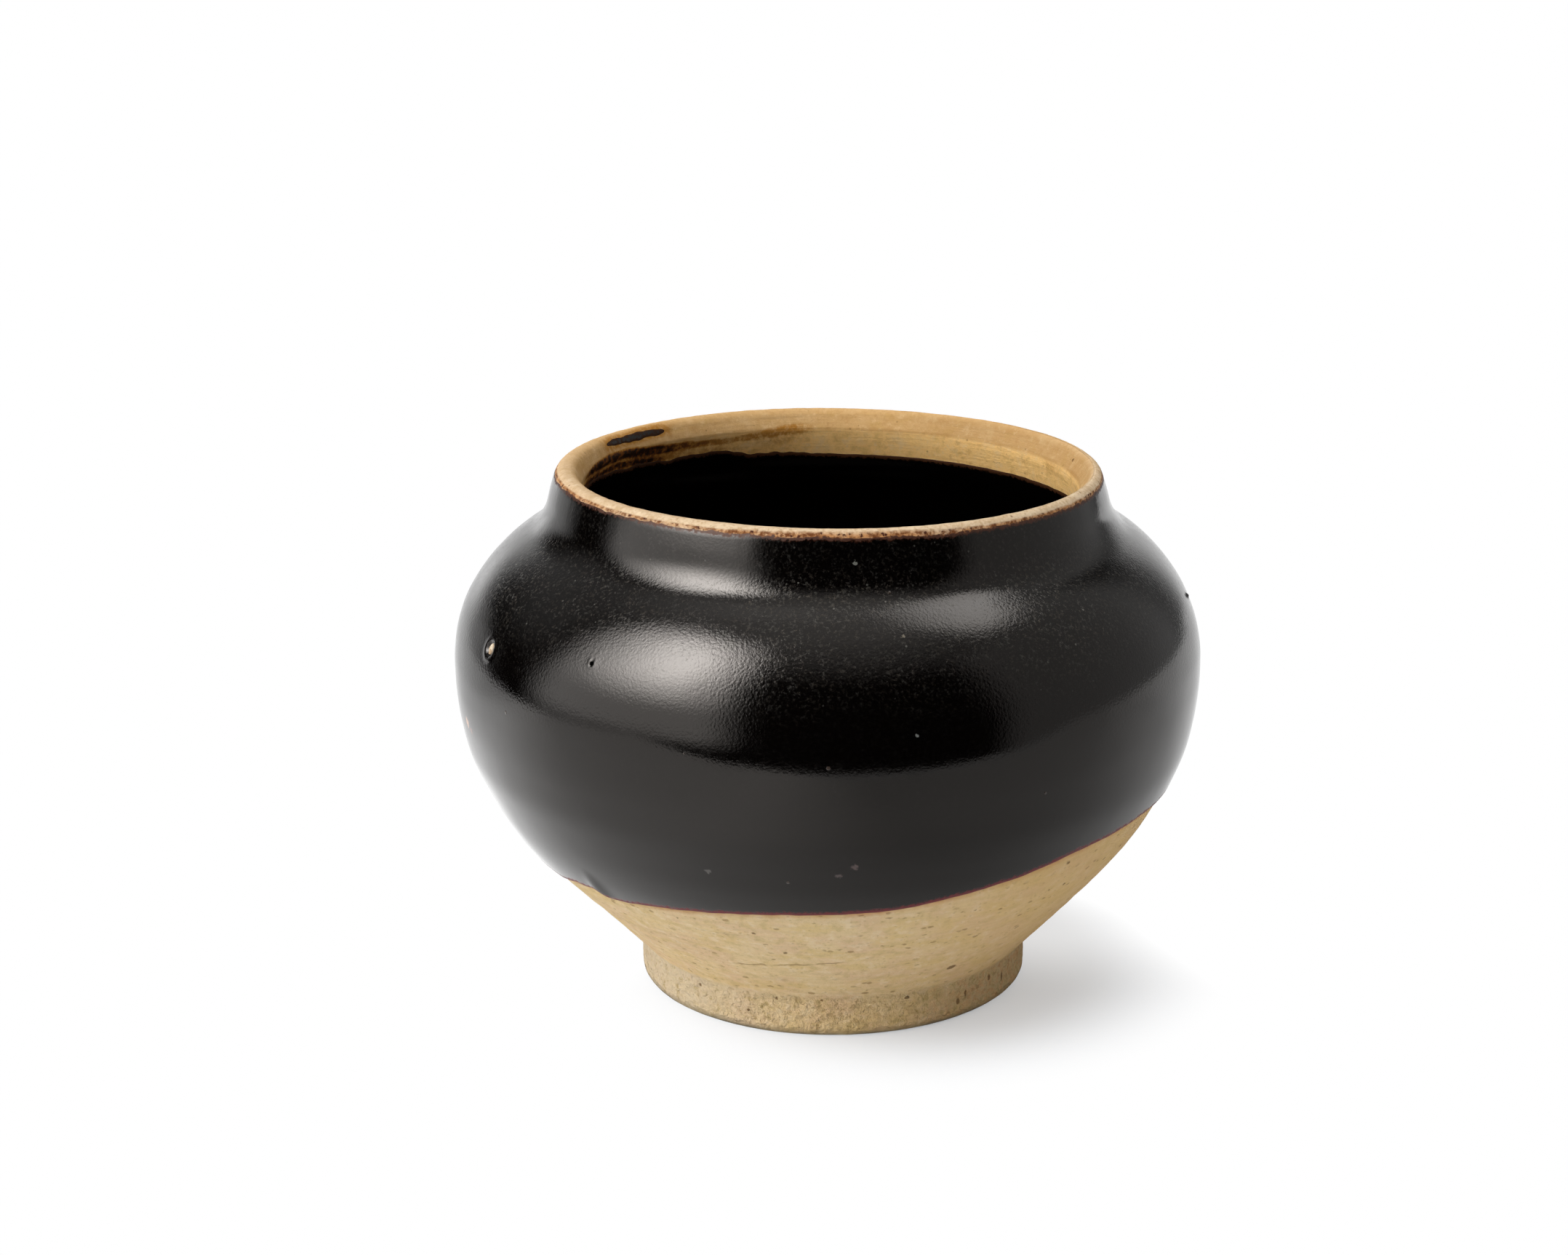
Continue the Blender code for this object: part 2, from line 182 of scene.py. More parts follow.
# How finely each stretch of a piece is drawn
FINE = 0.1
TURN_STEP_DEG = 0.25
CLAY_SIDES = 480
COAT_SIDES = 500
INNER_SIDES = 480
MARK_STEP_DEG = 0.17
EDGE_ROWS = (0, 0.04, 0.12, 0.26, 0.45, 0.7, 1.05, 1.5)
HIDDEN_ROWS = 38
FAR_FROM_EDGE = 9.0

# The studio: a light's level, the azimuths between which it fades in and out, and the elevations
STUDIO_LIGHTS = (
    (0.70, (-400, -399, 399, 400), (42, 80, 200, 201)),
    (13.2, (-100, -58, -55, -27), (9, 48, 52, 69)),
    (1.6, (-104, -88, -38, -22), (-13, 1, 55, 70)),
    (0.22, (-181, -180, -112, -100), (8, 34, 90, 91)),
    (0.55, (-182, -181, -136, -117), (-14, -12, 0, 10)),
    (0.37, (48, 62, 126, 150), (-40, -30, 48, 56)),
    (3.3, (70, 98, 150, 175), (53, 58, 64, 82)),
)
BACKDROP_LEVEL = 0.9
BACKDROP_ROUND = (138, 160)
BACKDROP_UP = (10, 30)
BEHIND_SHARE = 0.93
MATT_LEVEL = 0.58
EVEN_LEVEL = 0.28
GLOSSY_LEVEL = 1.13

# The table: where it ends, in metres, then where painted shade greys its front and what the glaze sees, in
# millimetres
TABLE_FRONT = -0.21
TABLE_FRONT_MIDDLE = (-0.12, -0.248)
TABLE_FRONT_TURN = (0.05, 0.25)
TABLE_FRONT_LEFT = -0.375
TABLE_LEFT = -0.52
TABLE_RIGHT = 0.8
TABLE_BACK = 1.6
TABLE_FRONT_SLANT = 40
TABLE_FRONT_SHADE_FROM = -215
TABLE_SHADOW_MIDDLE = (18, 0, 0)
TABLE_GLOW_FROM_TO = (34, 66)
TABLE_GLOW_SHARES = (0.36, 1)
TABLE_BACK_GLOW = (-20, 15, 0, 0.3)
TABLE_MIRRORED_ACROSS = (-70, 50, 1.2, 0.62)
TABLE_MIRRORED_BESIDE = (-80, 20, 1, 1.3)
TABLE_MIRRORED_NEAR = (80, 150, 0.8, 1)
TABLE_MIRRORED_BEHIND = (30, 160)

# The camera that took the photograph, and the size of its picture
CAMERA_PLACE = (0, -0.5544, 0.2349)
CAMERA_TILT_DOWN = 16.373
CAMERA_LENS = 65.55
PICTURE_WIDTH = 2156
AXIS_COLUMN = 1140


# Noise and easing

def noise(points, *terms):
    """A sum of smooth noises, each with its strength, the size of its features and its seed."""
    return sum(strength * plain_noise(points, size, seed) for strength, size, seed in terms)


def plain_noise(points, size, seed):
    """Gradient noise of about -1 to 1."""
    scaled = points / np.asarray(size, dtype=float)
    cell = np.floor(scaled).astype(np.int64)
    part = scaled - cell
    fade = part ** 3 * (part * (part * 6 - 15) + 10)
    slopes = np.random.default_rng(seed).normal(size=(4096, 3))
    slopes /= np.linalg.norm(slopes, axis=1)[:, None]
    total = np.zeros(points.shape[:-1])
    for corner in itertools.product((0, 1), repeat=3):
        x, y, z = np.moveaxis(cell + corner, -1, 0)
        index = (x * 73856093 ^ y * 19349663 ^ z * 83492791) % 4096
        weight = np.prod(np.where(corner, fade, 1 - fade), axis=-1)
        total += weight * ((part - corner) * slopes[index]).sum(axis=-1)
    return total * 1.6


def eased(values, start, end):
    """0 before start, 1 past end, which may be the lower one, and smooth between."""
    share = np.clip((values - start) / (end - start), 0, 1)
    return share * share * (3 - 2 * share)


def hump(values, middle, reach, power=2):
    """1 at the middle, falling away to 0 at both sides."""
    return np.exp(-((values - middle) / reach) ** power)


def blurred(values, steps, cut=4):
    """Evenly spaced values, blurred over some steps."""
    half = int(cut * steps)
    kernel = hump(np.arange(-half, half + 1), 0, steps * math.sqrt(2))
    return np.convolve(np.pad(values, half, mode="edge"), kernel / kernel.sum(), mode="valid")


def round_the_jar(azimuth, table, softness=1.5):
    """A table's value at each azimuth, softened over a few degrees."""
    turn = np.arange(-360, 360 + TURN_STEP_DEG / 2, TURN_STEP_DEG)
    places, heights = np.array(sorted(table)).T
    values = np.interp(turn, places, heights, period=360)
    return np.interp(azimuth, turn, blurred(values, softness / TURN_STEP_DEG, 3))


# Outlines

def line(start, end):
    """Points on a straight line, without its end."""
    steps = max(2, round(math.dist(start, end) / FINE))
    return np.linspace(start, end, steps, endpoint=False)


def arc(start, end, bow):
    """Points on an arc that stands bow off its chord, without its end."""
    start, end = np.array(start, dtype=float), np.array(end, dtype=float)
    half = np.linalg.norm(end - start) / 2
    half_sweep = 2 * math.atan2(bow, half)
    radius = half / math.sin(half_sweep)
    along = (end - start) / (2 * half)
    side = np.array([along[1], -along[0]])
    centre = (start + end) / 2 + side * (bow - radius)
    turn = half_sweep * np.linspace(-1, 1, max(2, round(2 * half / FINE)), endpoint=False)
    return centre + radius * (np.cos(turn)[:, None] * side + np.sin(turn)[:, None] * along)


class Outline:
    """A line in the plane of the axis, drawn at even steps."""

    def __init__(self, points):
        gaps = np.linalg.norm(np.diff(points, axis=0), axis=1)
        lengths = np.concatenate([[0], np.cumsum(gaps)])
        self.total = lengths[-1]
        self.length = np.arange(0, self.total, FINE)
        self.radius = np.interp(self.length, lengths, points[:, 0])
        self.height = np.interp(self.length, lengths, points[:, 1])

    def soften(self, reach, share=1.0):
        """Blur the line over a reach, fully or in part at each of its points."""
        self.radius += (blurred(self.radius, reach / FINE) - self.radius) * share
        self.height += (blurred(self.height, reach / FINE) - self.height) * share

    def soften_between(self, low, high, reach):
        """Blur the line between two heights, inside and outside."""
        between = (self.height > low) & (self.height < high)
        self.soften(reach, blurred(between * 1.0, 2 / FINE))

    def at(self, length):
        """Radius, height, and the radial and upward parts of the way off the line."""
        across, up = np.gradient(self.radius), np.gradient(self.height)
        size = np.hypot(across, up)
        every = (self.radius, self.height, up / size, -across / size)
        return [np.interp(length, self.length, values) for values in every]

    def crest(self):
        """How far along the line its highest point lies."""
        return self.length[int(np.argmax(self.height))]

    def length_at(self, height, rising=True):
        """How far along its rising or falling side the line reaches a height."""
        crest = int(np.argmax(self.height))
        if rising:
            base = int(np.flatnonzero(self.height[:crest] < FINE / 2)[-1])
            return np.interp(height, self.height[base:crest + 1], self.length[base:crest + 1])
        return np.interp(-height, -self.height[crest:], self.length[crest:])


def clay_points():
    """The main points of the clay, from the foot up to the throat."""
    ridge_height = FOOT_HEIGHT + FLARE_RISE + RIDGE_RISE
    belly_height = ridge_height + BELLY_RISE
    shoulder_height = belly_height + SHOULDER_RISE
    neck_height = shoulder_height + NECK_CORNER_RISE
    lip_height = neck_height + NECK_RISE
    lip_radius = NECK_RADIUS - NECK_DRAW_IN
    crest = (lip_radius - LIP_OUTER_WIDTH, lip_height + LIP_RISE)
    inner_edge = (crest[0] - LIP_INNER_WIDTH, crest[1] - LIP_INNER_DROP)
    return SimpleNamespace(
        foot=(FOOT_RADIUS, FOOT_HEIGHT),
        flare=(FOOT_RADIUS + FLARE_REACH, FOOT_HEIGHT + FLARE_RISE),
        ridge=(BELLY_RADIUS - RIDGE_SETBACK, ridge_height),
        belly=(BELLY_RADIUS, belly_height),
        shoulder=(NECK_RADIUS + NECK_CORNER_REACH, shoulder_height),
        neck=(NECK_RADIUS, neck_height),
        lip=(lip_radius, lip_height),
        crest=crest,
        inner_edge=inner_edge,
        throat=(inner_edge[0] - LIP_SLOPE_WIDTH, inner_edge[1] - LIP_SLOPE_DROP),
    )


def wall_line():
    """The outside of the clay between the foot and the lip."""
    spots = clay_points()
    return np.concatenate([
        line(spots.foot, spots.flare),
        arc(spots.flare, spots.ridge, FLARE_BOW),
        arc(spots.ridge, spots.belly, RIDGE_BOW),
        arc(spots.belly, spots.shoulder, SHOULDER_BOW),
        arc(spots.shoulder, spots.neck, -NECK_CORNER_BOW),
        line(spots.neck, spots.lip),
    ])


def inner_wall_line():
    """The inside of the clay, from the neck to the middle of the floor."""
    outer = Outline(wall_line())
    outer.soften(3.0)
    radius, height, off, up = outer.at(outer.length)
    inner = np.stack([radius - WALL * off, height - WALL * up], axis=1)[::-1]
    inner = inner[inner[:, 1] < clay_points().neck[1] - THROAT_DROP]
    floor_middle = (0.0, inner[-1][1] - FLOOR_DISH)
    return np.concatenate([inner, arc(inner[-1], floor_middle, -FLOOR_BOW), [floor_middle]])


def clay_outline():
    """The whole clay outline, from the underside over the lip to the floor."""
    spots = clay_points()
    ring_out = (FOOT_RADIUS - FOOT_EDGE_ROUND, 0.0)
    ring_in = (FOOT_RADIUS - FOOT_RING_OUTER_SLOPE - FOOT_RING_WIDTH, 0.0)
    recess = (ring_in[0] - RECESS_SLOPE, RECESS_DEPTH)
    foot_edge = (FOOT_RADIUS, FOOT_EDGE_ROUND)
    outline = Outline(np.concatenate([
        line((0.0, RECESS_DEPTH + RECESS_DISH), recess),
        line(recess, ring_in),
        line(ring_in, ring_out),
        arc(ring_out, foot_edge, FOOT_EDGE_BOW),
        line(foot_edge, spots.foot),
        wall_line(),
        arc(spots.lip, spots.crest, LIP_OUTER_BOW),
        arc(spots.crest, spots.inner_edge, LIP_INNER_BOW),
        line(spots.inner_edge, spots.throat),
        inner_wall_line(),
    ]))
    outline.soften(0.35)
    outline.soften_between(13, 86, 1.8)
    outline.soften_between(86, 101, 1.0)
    outline.radius[[0, -1]] = 0
    return outline


# Surfaces of the jar

def drift_at(height, inside):
    """How far the clay's rings stand to the right of the axis."""
    foot = FOOT_DRIFT * eased(height, clay_points().ridge[1], FOOT_HEIGHT)
    return foot + THROAT_DRIFT * eased(height, 100, 105) * inside


def surface(outline, length, azimuth, lift):
    """Places on the jar, at lengths along an outline, lifted off the clay."""
    radius, height, off, up = outline.at(length)
    turn = np.radians(azimuth)
    across = radius + lift * off
    x = drift_at(height, length > outline.crest()) + across * np.sin(turn)
    z = height + lift * up
    z = z - LIP_TILT_SHARE * x * eased(height, 80, 104)
    return np.stack([x, -across * np.cos(turn), z], axis=-1)


def spot_on(outline, place, lift=0.0, rising=True):
    """The place on the jar at an azimuth and height, outside or, past the crest, inside."""
    return surface(outline, outline.length_at(place[1], rising), place[0], lift)


def wobble(places):
    """The slow unevenness of a thrown wall and the glaze on it."""
    uneven = noise(places, (0.16, 48, 11), (0.05, 17, 12), (0.045, (90, 90, 4.2), 13))
    height = places[..., 2]
    outward = np.hypot(places[..., 0], places[..., 1]) > NECK_RADIUS - 2
    fuller = LOWER_BELLY_FULLNESS * hump(height, 37, 9) - NECK_CORNER_HOLLOW * hump(height, 87, 7)
    to_left = -places[..., 0] / BELLY_RADIUS * eased(height, 12, 30) * eased(height, 92, 78)
    return uneven + (fuller + LEFT_FULLNESS * to_left) * outward


def ring_mesh(name, rings, fields, material, closed=False, capped=False):
    """A mesh from rings of places, of which one with a single place is a pole.

    The last ring joins the first one where the mesh is closed, and a capped mesh has flat ends.
    """
    starts = np.cumsum([0] + [len(ring) for ring in rings])
    here = np.arange(max(len(ring) for ring in rings))
    faces = []
    for low in range(len(rings) - (not closed)):
        high = (low + 1) % len(rings)
        corners = ((low, here), (low, here + 1), (high, here + 1), (high, here))
        quads = np.stack([starts[ring] + turn % len(rings[ring]) for ring, turn in corners], axis=1)
        faces += [list(dict.fromkeys(quad)) for quad in quads.tolist()]
    if capped:
        faces += [here[::-1].tolist(), (starts[-2] + here).tolist()]
    mesh = bpy.data.meshes.new(name)
    mesh.from_pydata((np.concatenate(rings) * MM).tolist(), [], faces)
    for field, values in fields.items():
        layer = mesh.attributes.new(field, "FLOAT", "POINT")
        layer.data.foreach_set("value", np.concatenate(values).astype(np.float32))
    mesh.materials.append(material)
    mesh.shade_smooth()
    mesh.validate()
    face_outward(mesh)
    return placed(name, mesh)


def face_outward(mesh):
    """Turn every face to the outside of the closed mesh."""
    shape = bmesh.new()
    shape.from_mesh(mesh)
    bmesh.ops.recalc_face_normals(shape, faces=shape.faces)
    shape.to_mesh(mesh)
    shape.free()


def placed(name, data):
    """A new object in the scene."""
    piece = bpy.data.objects.new(name, data)
    bpy.context.collection.objects.link(piece)
    return piece


# Clay

def stations(outline):
    """Where the clay's rings lie along its outline, close where it shows."""
    corner = floor_corner(outline)
    marks = [
        (0.0, 4.0),
        (outline.length_at(0.1) - 0.4, 0.2),
        (outline.length_at(0.9), 0.52),
        (outline.length_at(47), 5.0),
        (outline.length_at(103.4), 0.38),
        (outline.length_at(95.5, rising=False), 8.5),
        (corner - 2.0, 0.8),
        (corner + 1.6, 8.5),
        (outline.total, 0.0),
    ]
    spans = [np.arange(a, b, step) for (a, step), (b, _) in zip(marks, marks[1:])]
    lengths = np.concatenate(spans)
    return lengths[np.diff(lengths, prepend=-1) > 0.1][1:]


def floor_corner(outline):
    """How far along the outline the floor begins."""
    up = outline.at(outline.length)[3]
    steep = (up < 0.9) & (outline.length < outline.total - WALL)
    return outline.length[np.flatnonzero(steep)[-1]]


def pits(places, rng, count, low, high, radii, depth):
    """How far pits sink the clay, and how dark each place is."""
    near = (places[..., 2] > low - 2) & (places[..., 2] < high + 2)
    picked = places[near]
    sunk, dark = np.zeros((2, len(picked)))
    for _ in range(count):
        centre = picked[rng.integers(len(picked))]
        size = rng.uniform(*radii)
        offset = (picked - centre) / (size * np.array([1.5, 1.5, 1.0]))
        share = np.clip(1 - (offset ** 2).sum(axis=-1), 0, 1)
        sunk = np.maximum(sunk, depth * size * share)
        dark = np.maximum(dark, share * rng.uniform(0.3, 1.0))
    every = np.zeros((2, *near.shape))
    every[:, near] = sunk, dark
    return every


def streak_strength(azimuth, height):
    """How dark brown the clay is stained at the throat and round the dab."""
    path = round_the_jar(azimuth, [(a, h) for a, h, _ in STREAK])
    force = round_the_jar(azimuth, [(a, s) for a, _, s in STREAK] + [(-93, 0), (178, 0)])
    ring = np.stack([azimuth * 0.9, height, np.zeros_like(height)], axis=-1)
    path = path + noise(ring, (0.25, 5, 36))
    thick = 0.65 + 0.35 * eased(azimuth, -98, -112) * eased(azimuth, -150, -132)
    thick = thick + 0.5 * eased(azimuth, -155, -165)
    second = 0.75 * hump(height, path - 2.4, 0.5) * eased(azimuth, -142, -128)
    wash = eased(height, 95.5, 98.0) * eased(height, path + 0.6, path - 0.4)
    wash = wash * (0.46 + noise(ring, (0.26, (7, 1.6, 1), 37))) / np.maximum(force, 1.0)
    band = hump(height, path, thick, 4)
    streaked = np.minimum(force * np.clip(band + second + wash, 0, 1), 1.0)
    middle, half = (DAB_START + DAB_END) / 2, (DAB_END - DAB_START) / 2
    beside = hump(azimuth, middle, half + 2.5, 8) * hump(height, 104.9, 1.5, 4)
    return np.maximum(streaked, 0.4 * beside)


def with_poles(first, rows, last):
    """Rings with the two poles of a mesh before and after them."""
    return [np.atleast_1d(first), *rows, np.atleast_1d(last)]


def stoneware_body(outline, material):
    """The thrown and turned clay, from the foot to the lip and the floor."""
    rng = np.random.default_rng(5)
    azimuths = np.arange(CLAY_SIDES) * 360 / CLAY_SIDES - 180
    length, azimuth = np.meshgrid(stations(outline), azimuths, indexing="ij")
    places = surface(outline, length, azimuth, 0.0)
    height = places[..., 2]
    crest = outline.crest()
    bare = (length < crest) & (height < round_the_jar(azimuth, DIP_LINE) + 1.5)
    foot_band = bare * eased(height, 9.0, 6.5) * eased(height, 0.3, 2.0)

    lift = wobble(places)
    turning = noise(places, (0.05, (60, 60, 1.5), 21), (0.03, (24, 24, 1.1), 22))
    lift += turning * bare * eased(height, 1.5, 6)
    lift += noise(places, (0.14, 3.4, 23), (0.11, 1.7, 24)) * foot_band
    lift += noise(places, (0.03, 2, 27)) * bare
    lift += noise(places, (0.05, 2.6, 25), (0.035, 1.2, 26)) * eased(height, 103.5, 104.8)
    lift *= height >= 0.15
    small = pits(places, rng, 130, 9.0, 46.0, (0.5, 0.8), 0.2)
    large = pits(places, rng, 150, 2.0, 8.5, (0.5, 1.1), 0.28)
    sunk, dark = np.maximum(small, large) * bare
    lining = inner_limit(outline, azimuth)
    lift -= sunk * eased(height, 0.5, 2.4) + CLAY_SET_BACK * eased(length, lining + 0.8, lining + 4)
    body = surface(outline, length, azimuth, lift)
    body[..., 2] = np.maximum(body[..., 2], 0.0)

    start, end = coat_limits(outline, azimuth)
    to_coat = np.minimum(np.abs(length - start), np.abs(length - end + GLAZE_LIP_SUNK))
    edge = np.minimum(to_coat, np.abs(lining - length))
    poles = surface(outline, outline.length[[[0], [-1]]], 0.0, 0.0)
    fields = {
        "inward": with_poles(0.0, eased(length, crest - 0.6, crest + 2.2), 1.0),
        "pit": with_poles(0.0, dark, 0.0),
        "stain": with_poles(0.0, streak_strength(azimuth, height) * (length >= crest), 0.0),
        "edge": with_poles(FAR_FROM_EDGE, edge, FAR_FROM_EDGE),
    }
    return ring_mesh("clay_body", [poles[0], *body, poles[1]], fields, material)


# Glaze coats

def ragged(azimuth, radius, *terms):
    """A small waver of a glaze line round the jar."""
    turn = np.radians(azimuth)
    ring = np.stack([radius * np.sin(turn), -radius * np.cos(turn), np.zeros_like(turn)], axis=-1)
    return noise(ring, *terms)


def coat_limits(outline, azimuth):
    """Lengths along the clay outline where the outer coat starts and ends."""
    waver = ragged(azimuth, 65, (0.22, 5, 31), (0.07, 1.6, 32))
    start = outline.length_at(round_the_jar(azimuth, DIP_LINE, 0.45) + waver)
    lip = outline.length_at(clay_points().lip[1]) + GLAZE_OVER_LIP
    waver = ragged(azimuth, 54, (0.2, 8, 33), (0.08, 1.6, 34))
    right = eased(azimuth, 4, 22) * eased(azimuth, 150, 100)
    return start, lip + waver - GLAZE_LOWER_RIGHT * right


def inner_limit(outline, azimuth):
    """Length along the clay outline where the inner coat starts."""
    left = eased(azimuth, -95, -110) * 0.3 + 0.12
    waver = ragged(azimuth, 50, (1, 2.4, 35)) * left
    return outline.length_at(round_the_jar(azimuth, INNER_LINE, 0.8) + waver, rising=False)


def outer_rows(outline, start, end):
    """Distances from the outer coat's lower edge, close at both edges and at marks."""
    plain, dense = 0.85, 0.28
    low = outline.length_at(GRAIN_PLACE[1] - 3.2) - start
    high = outline.length_at(PINHOLE_PLACE[1] + 1.2) - start
    close, whole = np.array(EDGE_ROWS), end - start
    middle = np.arange(close[-1] + plain, whole - close[-1], plain)
    middle = middle[(middle < low) | (middle > high)]
    middle = np.sort(np.concatenate([middle, np.arange(low, high, dense)]))
    return np.concatenate([close, middle, whole - close[::-1]])


def marked_azimuths():
    """Azimuths round the jar, close where the glaze has its marks."""
    even = np.arange(COAT_SIDES) * 360 / COAT_SIDES - 180
    added = []
    for middle, reach in ((GRAIN_PLACE[0], 3.2), (PINHOLE_PLACE[0], 0.9), (PIMPLE_PLACE[0], 1.0)):
        even = even[np.abs(even - middle) > reach + 0.2]
        added.append(np.arange(middle - reach, middle + reach, MARK_STEP_DEG))
    return np.sort(np.concatenate([even] + added))


def mark_relief(outline, places):
    """The height of the crater round the grain, the pinhole and the pimple."""
    marks = (GRAIN_PLACE, PINHOLE_PLACE, PIMPLE_PLACE)
    spots = [spot_on(outline, mark, GLAZE_THICKNESS) for mark in marks]
    grain, pinhole, pimple = [np.linalg.norm(places - spot, axis=-1) for spot in spots]
    relief = CRATER_RIM_RISE * hump(grain, CRATER_RIM_RADIUS, 0.6)
    relief -= CRATER_DEPTH * eased(grain, GRAIN_RADIUS * 1.4, GRAIN_RADIUS * 0.95)
    relief += 0.05 * hump(pinhole, 0.75, 0.3) - 0.25 * hump(pinhole, 0, 0.4)
    return relief + PIMPLE_RISE * hump(pimple, 0, 0.55)


def coat_rings(outline, start, end, azimuths, steps, thickness, outside):
    """Rings of a coat's bright side and hidden side, and distances from its edge."""
    span = end - start
    distance = (np.array(steps) / steps[-1])[:, None] * span
    length = start + distance
    flat = surface(outline, length, azimuths, thickness)
    ripple = noise(flat, (0.012, 5, 41), (0.02, 11, 42))
    swell = np.sqrt(1 - (1 - np.clip(distance / GLAZE_EDGE_ROUND, 0, 1)) ** 2)
    edge = distance
    if outside:
        left = span - distance
        swell = swell * eased(left, 0, GLAZE_LIP_FADE)
        edge = np.minimum(distance, np.maximum(left - GLAZE_LIP_SUNK, 0))
        fold = FOLD_RISE * hump(azimuths, FOLD_AZIMUTH, 1.9) * eased(distance, 7, 1)
        ripple = ripple + mark_relief(outline, flat) + fold
    lift = wobble(surface(outline, length, azimuths, 0.0))
    bright = lift + (thickness + GLAZE_BITE + ripple) * swell - GLAZE_BITE
    over = surface(outline, length, azimuths, bright)
    back = start + np.linspace(1, 0, HIDDEN_ROWS + 2)[1:-1, None] * span
    back_lift = wobble(surface(outline, back, azimuths, 0.0)) - GLAZE_BITE * 2
    return over, surface(outline, back, azimuths, back_lift), edge


def outer_glaze(outline, material):
    """The dark coat outside, from the slanting dip line up to the lip."""
    azimuths = marked_azimuths()
    start, end = coat_limits(outline, azimuths)
    steps = outer_rows(outline, start.mean(), end.mean())
    over, under, edge = coat_rings(outline, start, end, azimuths, steps, GLAZE_THICKNESS, True)
    every = np.concatenate([over, under])
    hidden = np.full(under.shape[:2], FAR_FROM_EDGE)
    fields = {"edge": np.concatenate([edge, hidden]), "speckled": np.ones(every.shape[:2])}
    return ring_mesh("dark_glaze_coat", every, fields, material, closed=True)


def inner_glaze(outline, material):
    """The dark coat inside, from its ragged upper edge down over the floor."""
    azimuths = np.arange(INNER_SIDES) * 360 / INNER_SIDES - 180
    start = inner_limit(outline, azimuths)
    end = np.full_like(start, outline.length[-1] - 0.4)
    steps = [*EDGE_ROWS, *np.arange(2.2, (end - start).mean(), 1.6)]
    over, under, edge = coat_rings(outline, start, end, azimuths, steps, INNER_GLAZE_THICKNESS, False)
    middle_over, middle_under = over[-1].mean(axis=0), under[0].mean(axis=0)
    last = middle_under + (under[0] - middle_under) * 0.15
    rings = [middle_over[None], *over[::-1], *under[::-1], last, middle_under[None]]
    hidden = np.full((len(under) + 1, INNER_SIDES), FAR_FROM_EDGE)
    fields = {"edge": with_poles(FAR_FROM_EDGE, [*edge[::-1], *hidden], FAR_FROM_EDGE)}
    return ring_mesh("inner_glaze_coat", rings, fields, material)


def lip_dab(outline, material):
    """The dab of glaze left on the lip's inner slope, thin and uneven at its rim."""
    inner_edge = outline.length_at(clay_points().inner_edge[1], rising=False)
    along = np.linspace(0, 1, 90)
    azimuths = DAB_START + (DAB_END - DAB_START) * along
    rows = np.linspace(-1, 1, 15)[:, None]
    swell = np.sin(np.pi * np.clip(along, 0.004, 0.996)) ** 0.32
    half_width = DAB_WIDTH / 2 * swell * (1 + ragged(azimuths, 50, (0.35, 2.2, 51)))
    middle = inner_edge + 0.95 + ragged(azimuths, 50, (0.25, 5, 52)) - 0.25 * along
    length = middle + rows * half_width
    base = wobble(surface(outline, length, azimuths, 0.0))
    rise = DAB_THICKNESS * np.sqrt(1 - rows ** 2) * swell
    over = surface(outline, length, azimuths, base - 0.06 + rise)
    under = surface(outline, length[1:-1], azimuths, base[1:-1] - 0.2)
    loops = np.concatenate([over, under[::-1]])
    edge = np.full(loops.shape[:2], FAR_FROM_EDGE)
    edge[:len(rows)] = DAB_EDGE * swell * (1 - rows ** 2)
    return ring_mesh("lip_dab", loops.transpose(1, 0, 2), {"edge": edge.T}, material, capped=True)


def kiln_grain(outline, material):
    """The pale grain in its crater: a small uneven pebble."""
    seat = spot_on(outline, GRAIN_PLACE, 0.35)
    outward = spot_on(outline, GRAIN_PLACE, 1.35) - seat
    polar = np.linspace(0, np.pi, 23)[1:-1, None]
    turn = np.arange(36) * 2 * np.pi / 36
    ball = [np.sin(polar) * np.cos(turn), np.sin(polar) * np.sin(turn), np.cos(polar) + 0 * turn]
    rings = with_poles([[0, 0, 1]], np.stack(ball, axis=-1), [[0, 0, -1]])
    turned = np.array(Vector(outward).to_track_quat("Z", "Y").to_matrix()).T
    for index, ring in enumerate(rings):
        rough = 1 + noise(ring * 1.4, (0.16, 0.9, 61), (0.07, 0.35, 62))
        rings[index] = ring * rough[:, None] * (0.82, 1.0, 0.52) * GRAIN_RADIUS @ turned + seat
    return ring_mesh("grit_grain", rings, {}, material)


# Materials

MEASURES = ("DISTANCE", "DOT_PRODUCT", "LENGTH")


